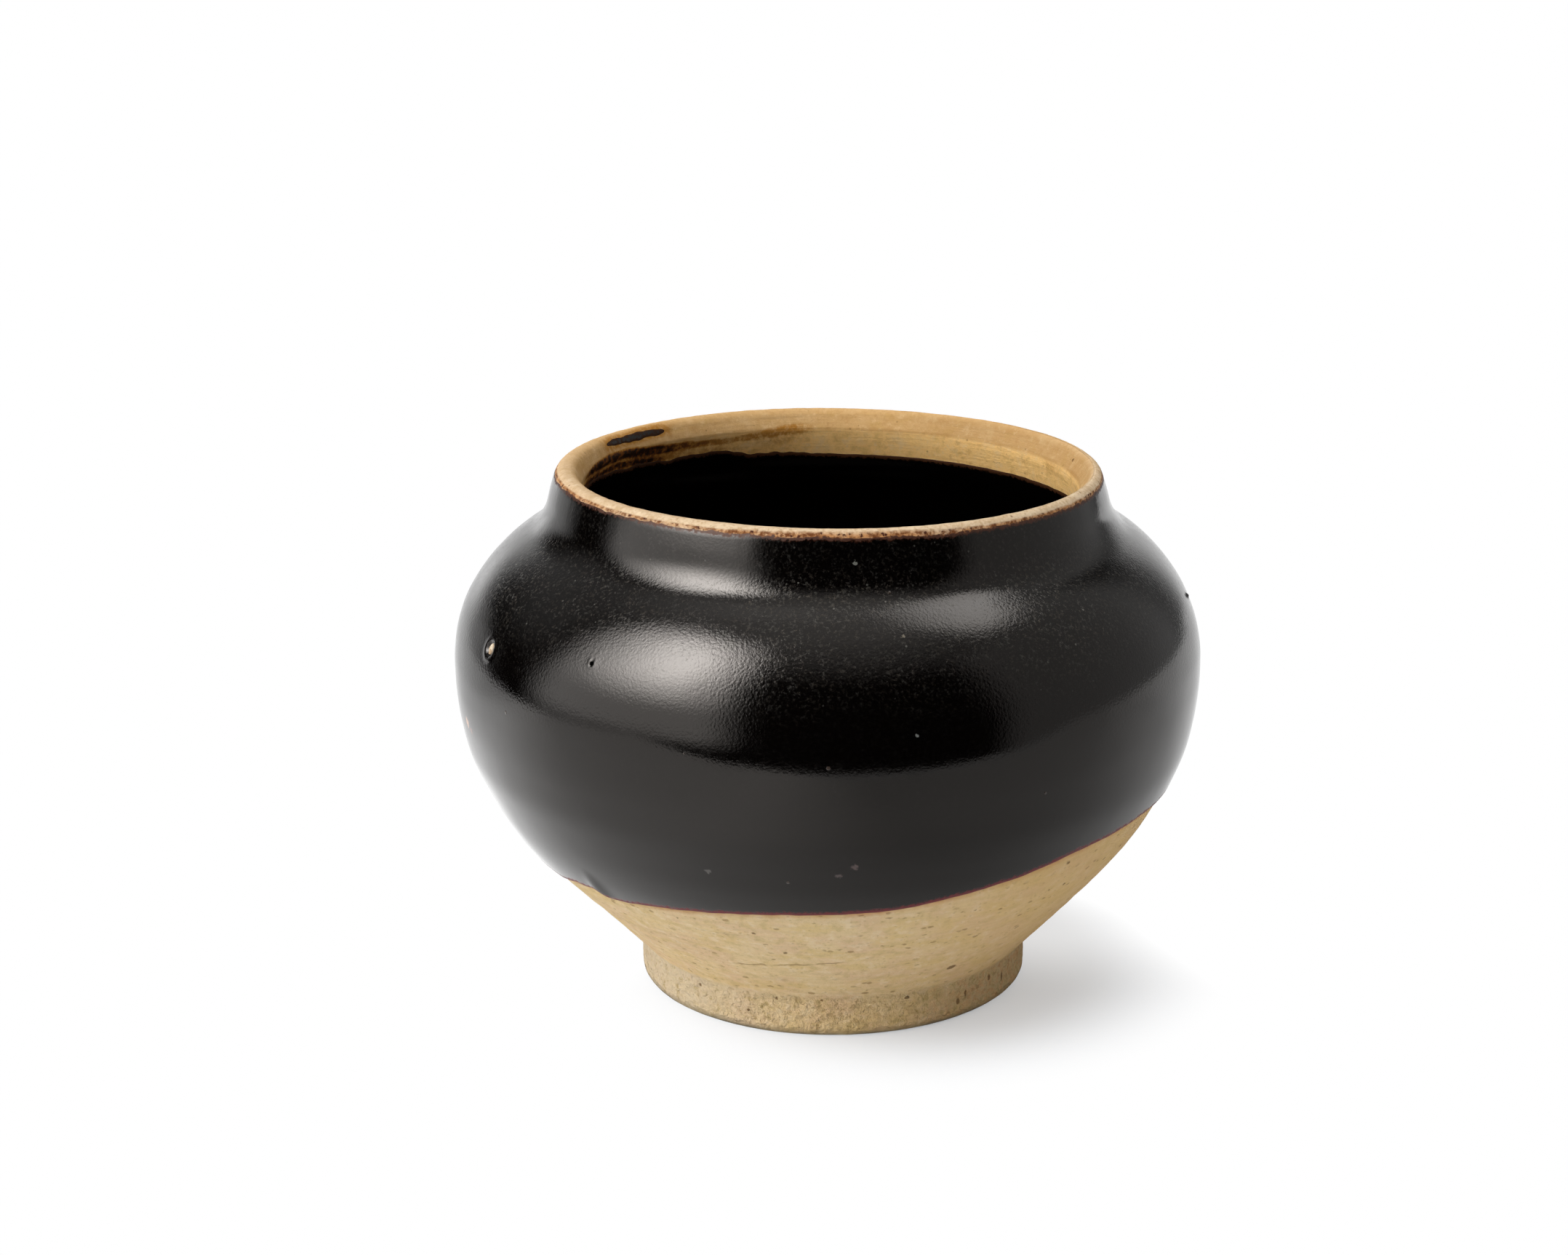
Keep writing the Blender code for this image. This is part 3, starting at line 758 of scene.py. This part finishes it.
class Graph:
    """Short calls for the nodes of one material or world."""

    def __init__(self, owner):
        owner.use_nodes = True
        self.tree = owner.node_tree

    def node(self, kind, inputs=(), **settings):
        made = self.tree.nodes.new("ShaderNode" + kind)
        for name, value in settings.items():
            setattr(made, name, value)
        for key, value in dict(inputs).items():
            self.feed(made.inputs[key], value)
        return made

    def feed(self, socket, value):
        """Link a socket, or set it to a number, a place or a colour of three numbers."""
        if isinstance(value, bpy.types.NodeSocket):
            self.tree.links.new(value, socket)
        elif socket.type == "RGBA":
            socket.default_value = (*value, 1)
        else:
            socket.default_value = value

    def math(self, operation, *values):
        return self.node("Math", enumerate(values), operation=operation).outputs[0]

    def times(self, *values):
        return functools.reduce(lambda first, other: self.math("MULTIPLY", first, other), values)

    def most(self, *values):
        return functools.reduce(lambda first, other: self.math("MAXIMUM", first, other), values)

    def vector(self, operation, *values):
        made = self.node("VectorMath", enumerate(values), operation=operation)
        return made.outputs["Value" if operation in MEASURES else "Vector"]

    def parts(self, place):
        return self.node("SeparateXYZ", {0: place}).outputs

    def span(self, value, start, end, low=0, high=1):
        """Low where the value is before start, high past end, and a smooth rise between."""
        inputs = {"Value": value, "From Min": start, "From Max": end, "To Min": low, "To Max": high}
        return self.node("MapRange", inputs, interpolation_type="SMOOTHSTEP").outputs[0]

    def mix(self, share, first, second):
        made = self.node("Mix", {"Factor": share}, data_type="RGBA")
        self.feed(made.inputs[6], first)
        self.feed(made.inputs[7], second)
        return made.outputs[2]

    def tinted(self, colour, tint, *shares):
        """A colour with a tint over it, as strong as all its shares together."""
        return self.mix(self.times(*shares), colour, tint)

    def layered(self, colour, *layers):
        """A colour with tints over it, each where a value passes from one level to another."""
        for value, start, end, share, tint in layers:
            colour = self.tinted(colour, tint, self.span(value, start, end, 0, share))
        return colour


class Material(Graph):
    """The nodes of one material, with the place on the piece in millimetres."""

    def __init__(self, name):
        self.made = bpy.data.materials.new(name)
        super().__init__(self.made)
        self.shader = self.tree.nodes["Principled BSDF"]
        metres = self.node("TexCoord").outputs["Object"]
        self.place = self.vector("MULTIPLY", metres, (1 / MM, 1 / MM, 1 / MM))
        self.x, self.y, self.height = self.parts(self.place)

    def finished(self, inputs):
        """The material, once its shader has its inputs."""
        for name, value in inputs.items():
            self.feed(self.shader.inputs[name], value)
        return self.made

    def field(self, name):
        return self.node("Attribute", attribute_name=name).outputs["Fac"]

    def bump(self, height, distance, normal=None):
        inputs = {"Height": height, "Distance": distance, "Strength": 1}
        if normal:
            inputs["Normal"] = normal
        return self.node("Bump", inputs).outputs["Normal"]

    def away(self, outline, spot):
        """Distance from a spot on the outer glaze."""
        return self.vector("DISTANCE", self.place, tuple(spot_on(outline, spot, GLAZE_THICKNESS)))

    def stretched(self, place, sideways, upright):
        """A place whose noise is drawn out along the turning of the wheel."""
        return self.vector("MULTIPLY", place, (sideways, sideways, upright))

    def warped(self, scale, amount):
        """The place pushed about by noise, so that spots lose their even shape."""
        inputs = {"Vector": self.place, "Scale": scale, "Detail": 2}
        push = self.node("TexNoise", inputs).outputs["Color"]
        push = self.vector("SUBTRACT", push, (0.5, 0.5, 0.5))
        return self.vector("MULTIPLY_ADD", push, (amount * 2, amount * 2, amount * 2), self.place)

    def noise(self, scale, detail=3, roughness=0.5, place=None):
        """Noise at one scale, or at one sideways and another upright."""
        place = place or self.place
        if isinstance(scale, tuple):
            place, scale = self.stretched(place, *scale), 1
        inputs = {"Vector": place, "Scale": scale, "Detail": detail, "Roughness": roughness}
        return self.node("TexNoise", inputs).outputs["Fac"]

    def dots(self, scale, reach, kept, place=None):
        """Round spots of uneven size in a share of loose cells."""
        inputs = {"Vector": place or self.place, "Scale": scale}
        cells = self.node("TexVoronoi", inputs).outputs
        size = self.times(self.span(cells["Color"], 1 - kept, 1 - kept * 0.3), reach)
        return self.span(self.math("SUBTRACT", size, cells["Distance"]), 0, reach * 0.45)


def stoneware_clay(outline):
    """Bare fired clay: tan, lined, pitted, golden inside and warm by the glaze."""
    graph = Material("stoneware_clay")
    height, edge, inward = graph.height, graph.field("edge"), graph.field("inward")
    lip = graph.span(height, 101, 103.5)
    blotch = graph.noise(0.12, 4, 0.6)
    grain = graph.noise(1.3, 4, 0.65)
    colour = foot_colour(graph, bare_colour(graph, blotch, grain))
    colour = graph.mix(lip, colour, lip_colour(graph, grain))
    colour = graph.mix(inward, colour, throat_colour(graph, grain))
    colour = beside_glaze(graph, colour, edge, blotch, inward, lip)

    small, pitted = pitting(graph, edge, outline)
    colour = graph.tinted(colour, (0.31, 0.165, 0.052), small, 0.62)
    colour = graph.tinted(colour, (0.17, 0.085, 0.025), pitted, 0.8)
    broken = graph.span(graph.noise(0.8, 4, 0.75), 0.36, 0.60, 0.6, 1.12)
    stain = graph.times(graph.field("stain"), broken)
    colour = graph.layered(
        colour,
        (stain, 0.05, 0.4, 1, (0.46, 0.205, 0.035)),
        (stain, 0.35, 0.7, 1, (0.17, 0.055, 0.010)),
        (stain, 0.65, 0.95, 1, (0.018, 0.006, 0.003)),
    )
    # Painted contact shade with dust: a dark olive tint along the foot's bottom edge, patchy by the blotch
    # noise
    dust_and_contact_shade = graph.span(blotch, 0.35, 0.6, 0.5, 1)
    colour = graph.tinted(colour, (0.13, 0.115, 0.075), graph.span(height, 1.3, 0.1), dust_and_contact_shade)

    normal = graph.bump(graph.noise(1.7, 5, 0.75), 0.00016)
    normal = graph.bump(graph.noise((0.06, 1.5), 3, 0.6), 0.00012, normal)
    band = graph.times(graph.span(height, 10, 7.5), graph.span(height, 0.4, 1.8))
    normal = graph.bump(graph.times(graph.noise(0.7, 3, 0.6), band), 0.0015, normal)
    deep = graph.math("MULTIPLY_ADD", pitted, 2, small)
    return graph.finished({
        "Base Color": colour,
        "Roughness": graph.span(stain, 0.6, 0.95, 0.85, 0.45),
        "Specular IOR Level": 0.2,
        "Normal": graph.bump(graph.times(deep, -1), 0.0001, normal),
    })


def bare_colour(graph, blotch, grain):
    """The sandy tan of the foot and flare, with patches and faint turning lines, and painted shade that
    makes it darker and warmer towards its right.
    """
    patch = graph.noise((0.10, 0.3), 3, 0.55)
    mottle = graph.noise(0.45, 3, 0.6)
    streaks = graph.noise((0.035, 1.3), 4, 0.6)
    return graph.layered(
        (0.79, 0.575, 0.30),
        (blotch, 0.40, 0.62, 1, (0.77, 0.53, 0.295)),
        (patch, 0.45, 0.68, 0.85, (0.75, 0.53, 0.235)),
        (mottle, 0.50, 0.70, 0.6, (0.86, 0.67, 0.42)),
        (mottle, 0.48, 0.32, 0.5, (0.58, 0.41, 0.18)),
        (streaks, 0.42, 0.72, 0.2, (0.50, 0.36, 0.18)),
        (grain, 0.50, 0.78, 0.3, (0.46, 0.33, 0.17)),
        # Painted shade: the clay turns darker and warmer towards its right side, away from the light
        (graph.x, -5, 50, 0.55, (0.62, 0.36, 0.11)),
    )


def foot_colour(graph, colour):
    """The foot's rough band: painted light makes it paler at its left, painted shade with some rust makes
    it darker and rusty at its right, and painted olive shade lies in patches over its lumps.
    """
    band = graph.span(graph.height, 10, 7.5)
    lumps = graph.noise(0.55, 4, 0.7)
    # Painted light: the band turns paler on its lit left side
    colour = graph.tinted(colour, (0.67, 0.55, 0.38), band, graph.span(graph.x, 0, -32), 0.75)
    rusty = graph.mix(graph.span(lumps, 0.42, 0.62), (0.50, 0.38, 0.21), (0.52, 0.28, 0.13))
    # Painted shade with rust: the band darkens and reddens towards its right
    colour = graph.tinted(colour, rusty, band, graph.span(graph.x, 8, 36), 0.6)
    # Painted shade: olive patches standing in for the shading of the band's lumps
    return graph.tinted(colour, (0.42, 0.29, 0.10), graph.span(lumps, 0.47, 0.30, 0, 0.7), band)


def lip_colour(graph, grain):
    """The lip: cream in front, tan at its left, golden at its back."""
    mottle = graph.noise((0.35, 0.6), 4, 0.65)
    cream = graph.layered(
        (0.765, 0.59, 0.39),
        (grain, 0.42, 0.72, 1, (0.57, 0.38, 0.21)),
        (graph.x, -25, -50, 0.5, (0.62, 0.42, 0.235)),
        (mottle, 0.48, 0.66, 0.4, (0.50, 0.31, 0.14)),
        (mottle, 0.44, 0.32, 0.5, (0.84, 0.68, 0.46)),
    )
    golden = graph.mix(graph.span(grain, 0.42, 0.72), (0.71, 0.45, 0.20), (0.58, 0.33, 0.125))
    colour = graph.mix(graph.span(graph.y, -20, 35), cream, golden)
    return graph.tinted(colour, (0.22, 0.10, 0.04), graph.dots(0.7, 0.22, 0.35), 0.7)


def throat_colour(graph, grain):
    """Golden clay inside the lip, with a rusty line where the slope ends, and painted shade that darkens
    the slope towards its right.
    """
    height = graph.height
    mottle = graph.noise((0.22, 0.3), 4, 0.62)
    rusty = graph.noise((0.12, 0.25), 4, 0.65)
    patchy = graph.noise(0.55, 4, 0.7)
    colour = graph.layered(
        (0.655, 0.40, 0.165),
        (height, 102.6, 101.2, 1, (1, 0.63, 0.235)),
        (mottle, 0.48, 0.72, 0.45, (0.82, 0.58, 0.30)),
        (mottle, 0.50, 0.32, 0.45, (0.60, 0.36, 0.11)),
        (rusty, 0.54, 0.74, 0.45, (0.50, 0.24, 0.06)),
        (patchy, 0.50, 0.70, 0.4, (0.50, 0.26, 0.08)),
        (patchy, 0.46, 0.34, 0.35, (0.86, 0.62, 0.34)),
    )
    away = graph.math("ABSOLUTE", graph.math("SUBTRACT", height, 102.2))
    broken = graph.span(rusty, 0.35, 0.6, 0.1, 0.5)
    colour = graph.tinted(colour, (0.46, 0.24, 0.07), graph.span(away, 0.5, 0.1), broken)
    # Painted shade: the lip's inner slope darkens towards its right
    right = graph.span(graph.x, 5, 32, 0, 0.3)
    colour = graph.tinted(colour, (0.20, 0.10, 0.03), right, graph.span(height, 101.2, 102.6))
    colour = graph.tinted(colour, (0.24, 0.12, 0.035), graph.dots(0.85, 0.26, 0.35), 0.5)
    return graph.layered(colour, (grain, 0.50, 0.78, 0.25, (0.50, 0.31, 0.11)))


def beside_glaze(graph, colour, edge, blotch, inward, lip):
    """Orange clay beside the glaze, burnt red-brown along its line on the lip."""
    outside = graph.math("SUBTRACT", 1, inward)
    lip_outside = graph.times(lip, outside)
    aside = graph.math("ABSOLUTE", graph.math("SUBTRACT", graph.x, 4))
    front = graph.span(aside, 26, 12, 0.55, 1.25)
    reach = graph.span(lip, 0, 1, 1.9, graph.times(front, 0.95))
    near = graph.math("SUBTRACT", 1, graph.math("MINIMUM", graph.math("DIVIDE", edge, reach), 1))
    patchy = graph.span(blotch, 0.3, 0.6, 0.4, 1)
    colour = graph.tinted(colour, (0.52, 0.22, 0.06), near, patchy, outside)
    share = graph.math("DIVIDE", edge, front)
    burnt = graph.span(graph.noise(0.9, 3, 0.65), 0.38, 0.62)
    burnt = graph.times(burnt, graph.span(share, 1.05, 0.2), lip_outside)
    colour = graph.mix(burnt, colour, (0.17, 0.055, 0.015))
    drops = graph.dots(1.1, 0.45, 0.85, graph.warped(1.5, 0.5))
    close = graph.span(share, 0.95, 0.35)
    return graph.tinted(colour, (0.07, 0.02, 0.01), drops, close, lip_outside)


def pitting(graph, edge, outline):
    """How much of a small pit and of a dark hollow there is at each place."""
    below = graph.span(graph.height, 52, 50)
    band = graph.times(graph.span(graph.height, 9, 7), below)
    rows = graph.span(graph.noise((0.02, 0.5), 2), 0.40, 0.58, 0.25, 1)
    loose = graph.dots(0.8, 0.36, 0.7, graph.stretched(graph.warped(1, 0.4), 0.55, 1))
    loose = graph.times(loose, rows, graph.span(edge, 0.3, 1))
    fine = graph.times(graph.dots(1.2, 0.40, 0.45), 0.4)
    small = graph.times(graph.most(loose, fine), below, graph.span(band, 0, 1, 1, 0.35))
    clusters = graph.span(graph.noise(0.085, 2), 0.42, 0.56, 0.15, 1)
    torn = graph.span(graph.noise(0.9, 3, 0.6, graph.warped(0.8, 0.8)), 0.46, 0.35)
    rough = graph.times(torn, clusters, band, 0.55)
    hollow = graph.span(graph.field("pit"), 0.3, 1, 0, 0.35)
    return graph.most(small, rough, scratch(graph, outline)), graph.most(hollow, clay_marks(graph, outline))


def clay_marks(graph, outline):
    """The few larger hollows in the clay."""
    bent = graph.warped(1.2, 0.35)
    total = 0
    spots = [(spot_on(outline, mark), mark) for mark in CLAY_MARKS]
    spots.append((spot_on(outline, THROAT_MARK, rising=False), THROAT_MARK))
    for centre, (_, _, length, height) in spots:
        offset = graph.vector("SUBTRACT", bent, tuple(centre))
        near = graph.vector("MULTIPLY", offset, (1 / length, 1 / length, 1 / height))
        total = graph.most(total, graph.span(graph.vector("LENGTH", near), 1, 0.55))
    return total


def scratch(graph, outline):
    """A long broken scratch across the front of the flare."""
    start, end = spot_on(outline, SCRATCH_START), spot_on(outline, SCRATCH_END)
    way = (end - start) / np.linalg.norm(end - start) ** 2
    offset = graph.vector("SUBTRACT", graph.warped(0.5, 0.5), tuple(start))
    along = graph.vector("DOT_PRODUCT", offset, tuple(way))
    rise = graph.times(along, float(end[2] - start[2]))
    beside = graph.math("SUBTRACT", graph.parts(offset)["Z"], rise)
    line = graph.span(graph.math("ABSOLUTE", beside), 0.32, 0.05)
    within = graph.times(graph.span(along, 0, 0.12), graph.span(along, 1, 0.85))
    broken = graph.span(graph.noise(0.3, 2), 0.38, 0.52, 0.1, 1)
    return graph.times(line, within, broken, graph.span(graph.y, -30, -35))


def dark_glaze(outline):
    """Near-black glaze: glossy, finely rippled, speckled, rusty where it thins."""
    graph = Material("dark_glaze")
    height, outside = graph.height, graph.field("speckled")
    cloud = graph.span(graph.noise(0.05, 3, 0.6), 0.35, 0.6, 0.5, 1)
    shoulder, neck = graph.span(height, 74, 91, 0.05, 1), graph.span(height, 94, 99, 1, 0.4)
    colour, specks = speckled(graph, graph.times(shoulder, outside, neck, cloud))
    blisters = graph.times(graph.dots(0.16, 0.07, 0.5), outside)
    colour = graph.tinted(colour, (0.13, 0.09, 0.07), blisters, 0.35)
    colour = spotted(graph, outline, colour)
    thin, shine, colour = thinning(graph, outside, colour)
    hole = graph.span(graph.away(outline, PINHOLE_PLACE), 0.35, 0.65)

    smear = graph.span(graph.noise(0.4, 3, 0.6), 0.3, 0.7, 0.08, 0.13)
    gloss = graph.math("MULTIPLY_ADD", specks, 0.25, smear)
    peel = graph.math("MULTIPLY_ADD", specks, 0.25, graph.noise(2, 2))
    peel = graph.times(peel, graph.span(height, 62, 78, 0.1, 1), graph.span(height, 95, 99, 1, 0.4))
    return graph.finished({
        "Base Color": colour,
        "Roughness": graph.most(gloss, graph.times(thin, 0.5)),
        "Specular IOR Level": graph.times(shine, hole, graph.span(specks, 0, 1, 1, 0.5)),
        "IOR": 1.46,
        "Specular Tint": (1, 0.93, 0.87),
        "Normal": graph.bump(blisters, 0.00006, graph.bump(peel, 0.00004)),
    })


def speckled(graph, upper):
    """Black with soft grey-brown grains and a few brighter ones."""
    soft = graph.span(graph.noise(1.5, 3, 0.75), 0.50, 0.74)
    fine = graph.times(graph.dots(0.95, 0.34, 0.7, graph.warped(2, 0.25)), 0.32)
    bright = graph.dots(0.55, 0.15, 0.5)
    specks = graph.times(graph.most(fine, bright, soft), upper)
    browner = (graph.noise(0.5), 0.4, 0.6, 1, (0.056, 0.047, 0.037))
    tint = graph.mix(bright, graph.layered((0.070, 0.066, 0.058), browner), (0.13, 0.125, 0.11))
    return graph.mix(specks, (0.0012, 0.0008, 0.0007), tint), specks


def spotted(graph, outline, colour):
    """A colour with the glaze's few larger spots on it."""
    waver = graph.span(graph.noise(1.6), 0.3, 0.7, -0.3, 0.3)
    for azimuth, height, radius, tint in GLAZE_SPOTS:
        away = graph.math("ADD", graph.away(outline, (azimuth, height)), waver)
        colour = graph.mix(graph.span(away, radius, radius * 0.4), colour, tint)
    return colour


def thinning(graph, outside, colour):
    """The glaze's thin edges: maroon at the dip line, rust at the lip, brown inside."""
    waver = graph.span(graph.noise(1.3), 0.3, 0.7, -0.25, 0.25)
    edge = graph.math("ADD", graph.field("edge"), waver)
    at_lip = graph.span(graph.height, 80, 90)
    rust = graph.mix(graph.span(edge, 0.05, 0.4), (0.28, 0.11, 0.035), (0.06, 0.02, 0.01))
    tint = graph.mix(at_lip, (0.17, 0.035, 0.035), rust)
    tint = graph.mix(outside, (0.04, 0.015, 0.006), tint)
    above = graph.times(at_lip, outside)
    reach = graph.times(graph.span(above, 0, 1, 2, 1.1), graph.span(outside, 0, 1, 0.5, 1))
    thin = graph.span(graph.math("DIVIDE", edge, reach), 1, 0.45)
    shine = graph.span(thin, 0, 1, 0.5, graph.span(above, 0, 1, 0.12, 0.38))
    return thin, shine, graph.mix(thin, colour, tint)


def pale_grit():
    """A rough cream-coloured mineral grain with tan and darker veins."""
    graph = Material("pale_grit")
    veins = graph.noise(1.3, 5, 0.7)
    return graph.finished({
        "Base Color": graph.mix(graph.span(veins, 0.38, 0.62), (0.74, 0.62, 0.46), (0.46, 0.31, 0.18)),
        "Roughness": graph.span(veins, 0.3, 0.7, 0.5, 0.75),
        "Normal": graph.bump(graph.noise(2.6, 4, 0.6), 0.00015),
    })


# The studio

def table_top():
    """A white table that ends in front of the jar and runs on far behind it."""
    (turn, end), middle = TABLE_FRONT_TURN, TABLE_FRONT_MIDDLE
    corners = [
        (TABLE_LEFT, TABLE_FRONT_LEFT, 0), (*middle, 0), (turn, middle[1], 0), (end, TABLE_FRONT, 0),
        (TABLE_RIGHT, TABLE_FRONT, 0), (TABLE_RIGHT, TABLE_BACK, 0), (TABLE_LEFT, TABLE_BACK, 0),
    ]
    mesh = bpy.data.meshes.new("table_top")
    mesh.from_pydata(corners, [], [range(len(corners))])
    mesh.materials.append(white_table())
    piece = placed("table_top", mesh)


def white_table():
    """Matt white, with painted shade that greys it towards its front edge, and dark only close by the jar.
    """
    graph = Material("white_table")
    x, y = graph.x, graph.y
    # Painted shade: the table greys towards its front edge, where less light falls
    depth = graph.math("MULTIPLY_ADD", graph.math("MINIMUM", x, 0), -0.5, y)
    turn, end = TABLE_FRONT_TURN
    depth = graph.math("SUBTRACT", depth, graph.span(x, turn / MM, end / MM, 0, TABLE_FRONT_SLANT))
    grey = graph.span(depth, TABLE_FRONT_SHADE_FROM, TABLE_FRONT / MM - TABLE_FRONT_SLANT)
    rays = graph.node("LightPath").outputs
    to_camera = rays["Is Camera Ray"]
    seen = graph.most(to_camera, rays["Is Transmission Ray"], rays["Is Glossy Ray"])
    away = graph.vector("DISTANCE", graph.place, TABLE_SHADOW_MIDDLE)
    glowing = graph.span(away, *TABLE_GLOW_FROM_TO, *TABLE_GLOW_SHARES)
    glowing = graph.math("MINIMUM", graph.math("ADD", glowing, graph.span(y, *TABLE_BACK_GLOW)), 1)
    clear = graph.most(graph.math("SUBTRACT", 1, grey), to_camera)
    mirrored = graph.times(
        graph.span(x, *TABLE_MIRRORED_ACROSS),
        graph.span(y, *TABLE_MIRRORED_BESIDE),
        graph.span(away, *TABLE_MIRRORED_NEAR),
    )
    mirrored = graph.span(y, *TABLE_MIRRORED_BEHIND, mirrored, 1)
    strength = graph.span(to_camera, 0, 1, mirrored, 1)
    glow = graph.node("Emission", {"Color": WHITE, "Strength": strength}).outputs[0]
    both = {0: graph.times(seen, glowing, clear), 1: graph.shader.outputs[0], 2: glow}
    surface_socket = graph.tree.nodes["Material Output"].inputs["Surface"]
    graph.feed(surface_socket, graph.node("MixShader", both).outputs[0])
    return graph.finished({
        "Base Color": graph.mix(grey, (0.82, 0.89, 1), (0.35, 0.35, 0.35)),
        "Roughness": 0.9,
        "Specular IOR Level": 0.1,
    })


def studio():
    """A world that lights the jar as the studio did, and that the camera sees as white.

    Rays that the glaze mirrors see the room as it was: the lights, the dark front and the white
    backdrop behind the jar. The same room lights matt surfaces at a plain level.
    """
    world = bpy.data.worlds.new("studio")
    bpy.context.scene.world = world
    graph = Graph(world)
    graph.tree.nodes.clear()
    x, y, z = graph.parts(graph.node("TexCoord").outputs["Generated"])
    azimuth = graph.math("ARCTAN2", x, graph.times(y, -1))
    azimuth = graph.times(azimuth, math.degrees(1))
    elevation = graph.times(graph.math("ARCSINE", z), math.degrees(1))

    backdrop = graph.span(graph.math("ABSOLUTE", azimuth), *BACKDROP_ROUND)
    total = graph.times(backdrop, BACKDROP_LEVEL, graph.span(elevation, *BACKDROP_UP, 1, 0))
    for level, across, up in STUDIO_LIGHTS:
        fades = [graph.span(azimuth, *across[:2]), graph.span(azimuth, *across[2:], 1, 0),
                 graph.span(elevation, *up[:2]), graph.span(elevation, *up[2:], 1, 0)]
        total = graph.math("MULTIPLY_ADD", graph.times(*fades), level, total)

    rays = graph.node("LightPath").outputs
    matt = graph.math("MULTIPLY_ADD", total, MATT_LEVEL, EVEN_LEVEL)
    strength = graph.span(rays["Is Glossy Ray"], 0, 1, matt, graph.times(total, GLOSSY_LEVEL))
    light = graph.node("Background", {"Color": WHITE, "Strength": strength})
    mirrored = graph.times(rays["Is Glossy Ray"], graph.math("GREATER_THAN", y, BEHIND_SHARE))
    seen = graph.most(rays["Is Camera Ray"], rays["Is Transmission Ray"], mirrored)
    white = graph.node("Background", {"Color": WHITE, "Strength": 1})
    both = graph.node("MixShader", {0: seen, 1: light.outputs[0], 2: white.outputs[0]})
    graph.node("OutputWorld", {"Surface": both.outputs[0]})


def camera():
    """The camera of the photograph, level across and tilted down at the jar."""
    data = bpy.data.cameras.new("camera")
    data.lens = CAMERA_LENS
    data.shift_x = (PICTURE_WIDTH / 2 - AXIS_COLUMN) / PICTURE_WIDTH
    piece = placed("camera", data)
    piece.location = CAMERA_PLACE
    piece.rotation_euler = (math.radians(90 - CAMERA_TILT_DOWN), 0, 0)
    bpy.context.scene.camera = piece


def dress(piece, node):
    """Put a piece on the jar's body in place of its plain solid."""
    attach(piece, "root")
    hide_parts(node)


def main():
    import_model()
    outline = clay_outline()
    clay, glaze, grit = stoneware_clay(outline), dark_glaze(outline), pale_grit()
    dress(stoneware_body(outline, clay), "stoneware_body")
    dress(outer_glaze(outline, glaze), "outer_glaze")
    dress(inner_glaze(outline, glaze), "inner_glaze")
    dress(lip_dab(outline, glaze), "rim_glaze_splash")
    dress(kiln_grain(outline, grit), "kiln_grit")
    table_top()
    studio()
    camera()
    bpy.context.scene.view_settings.view_transform = "Standard"


main()
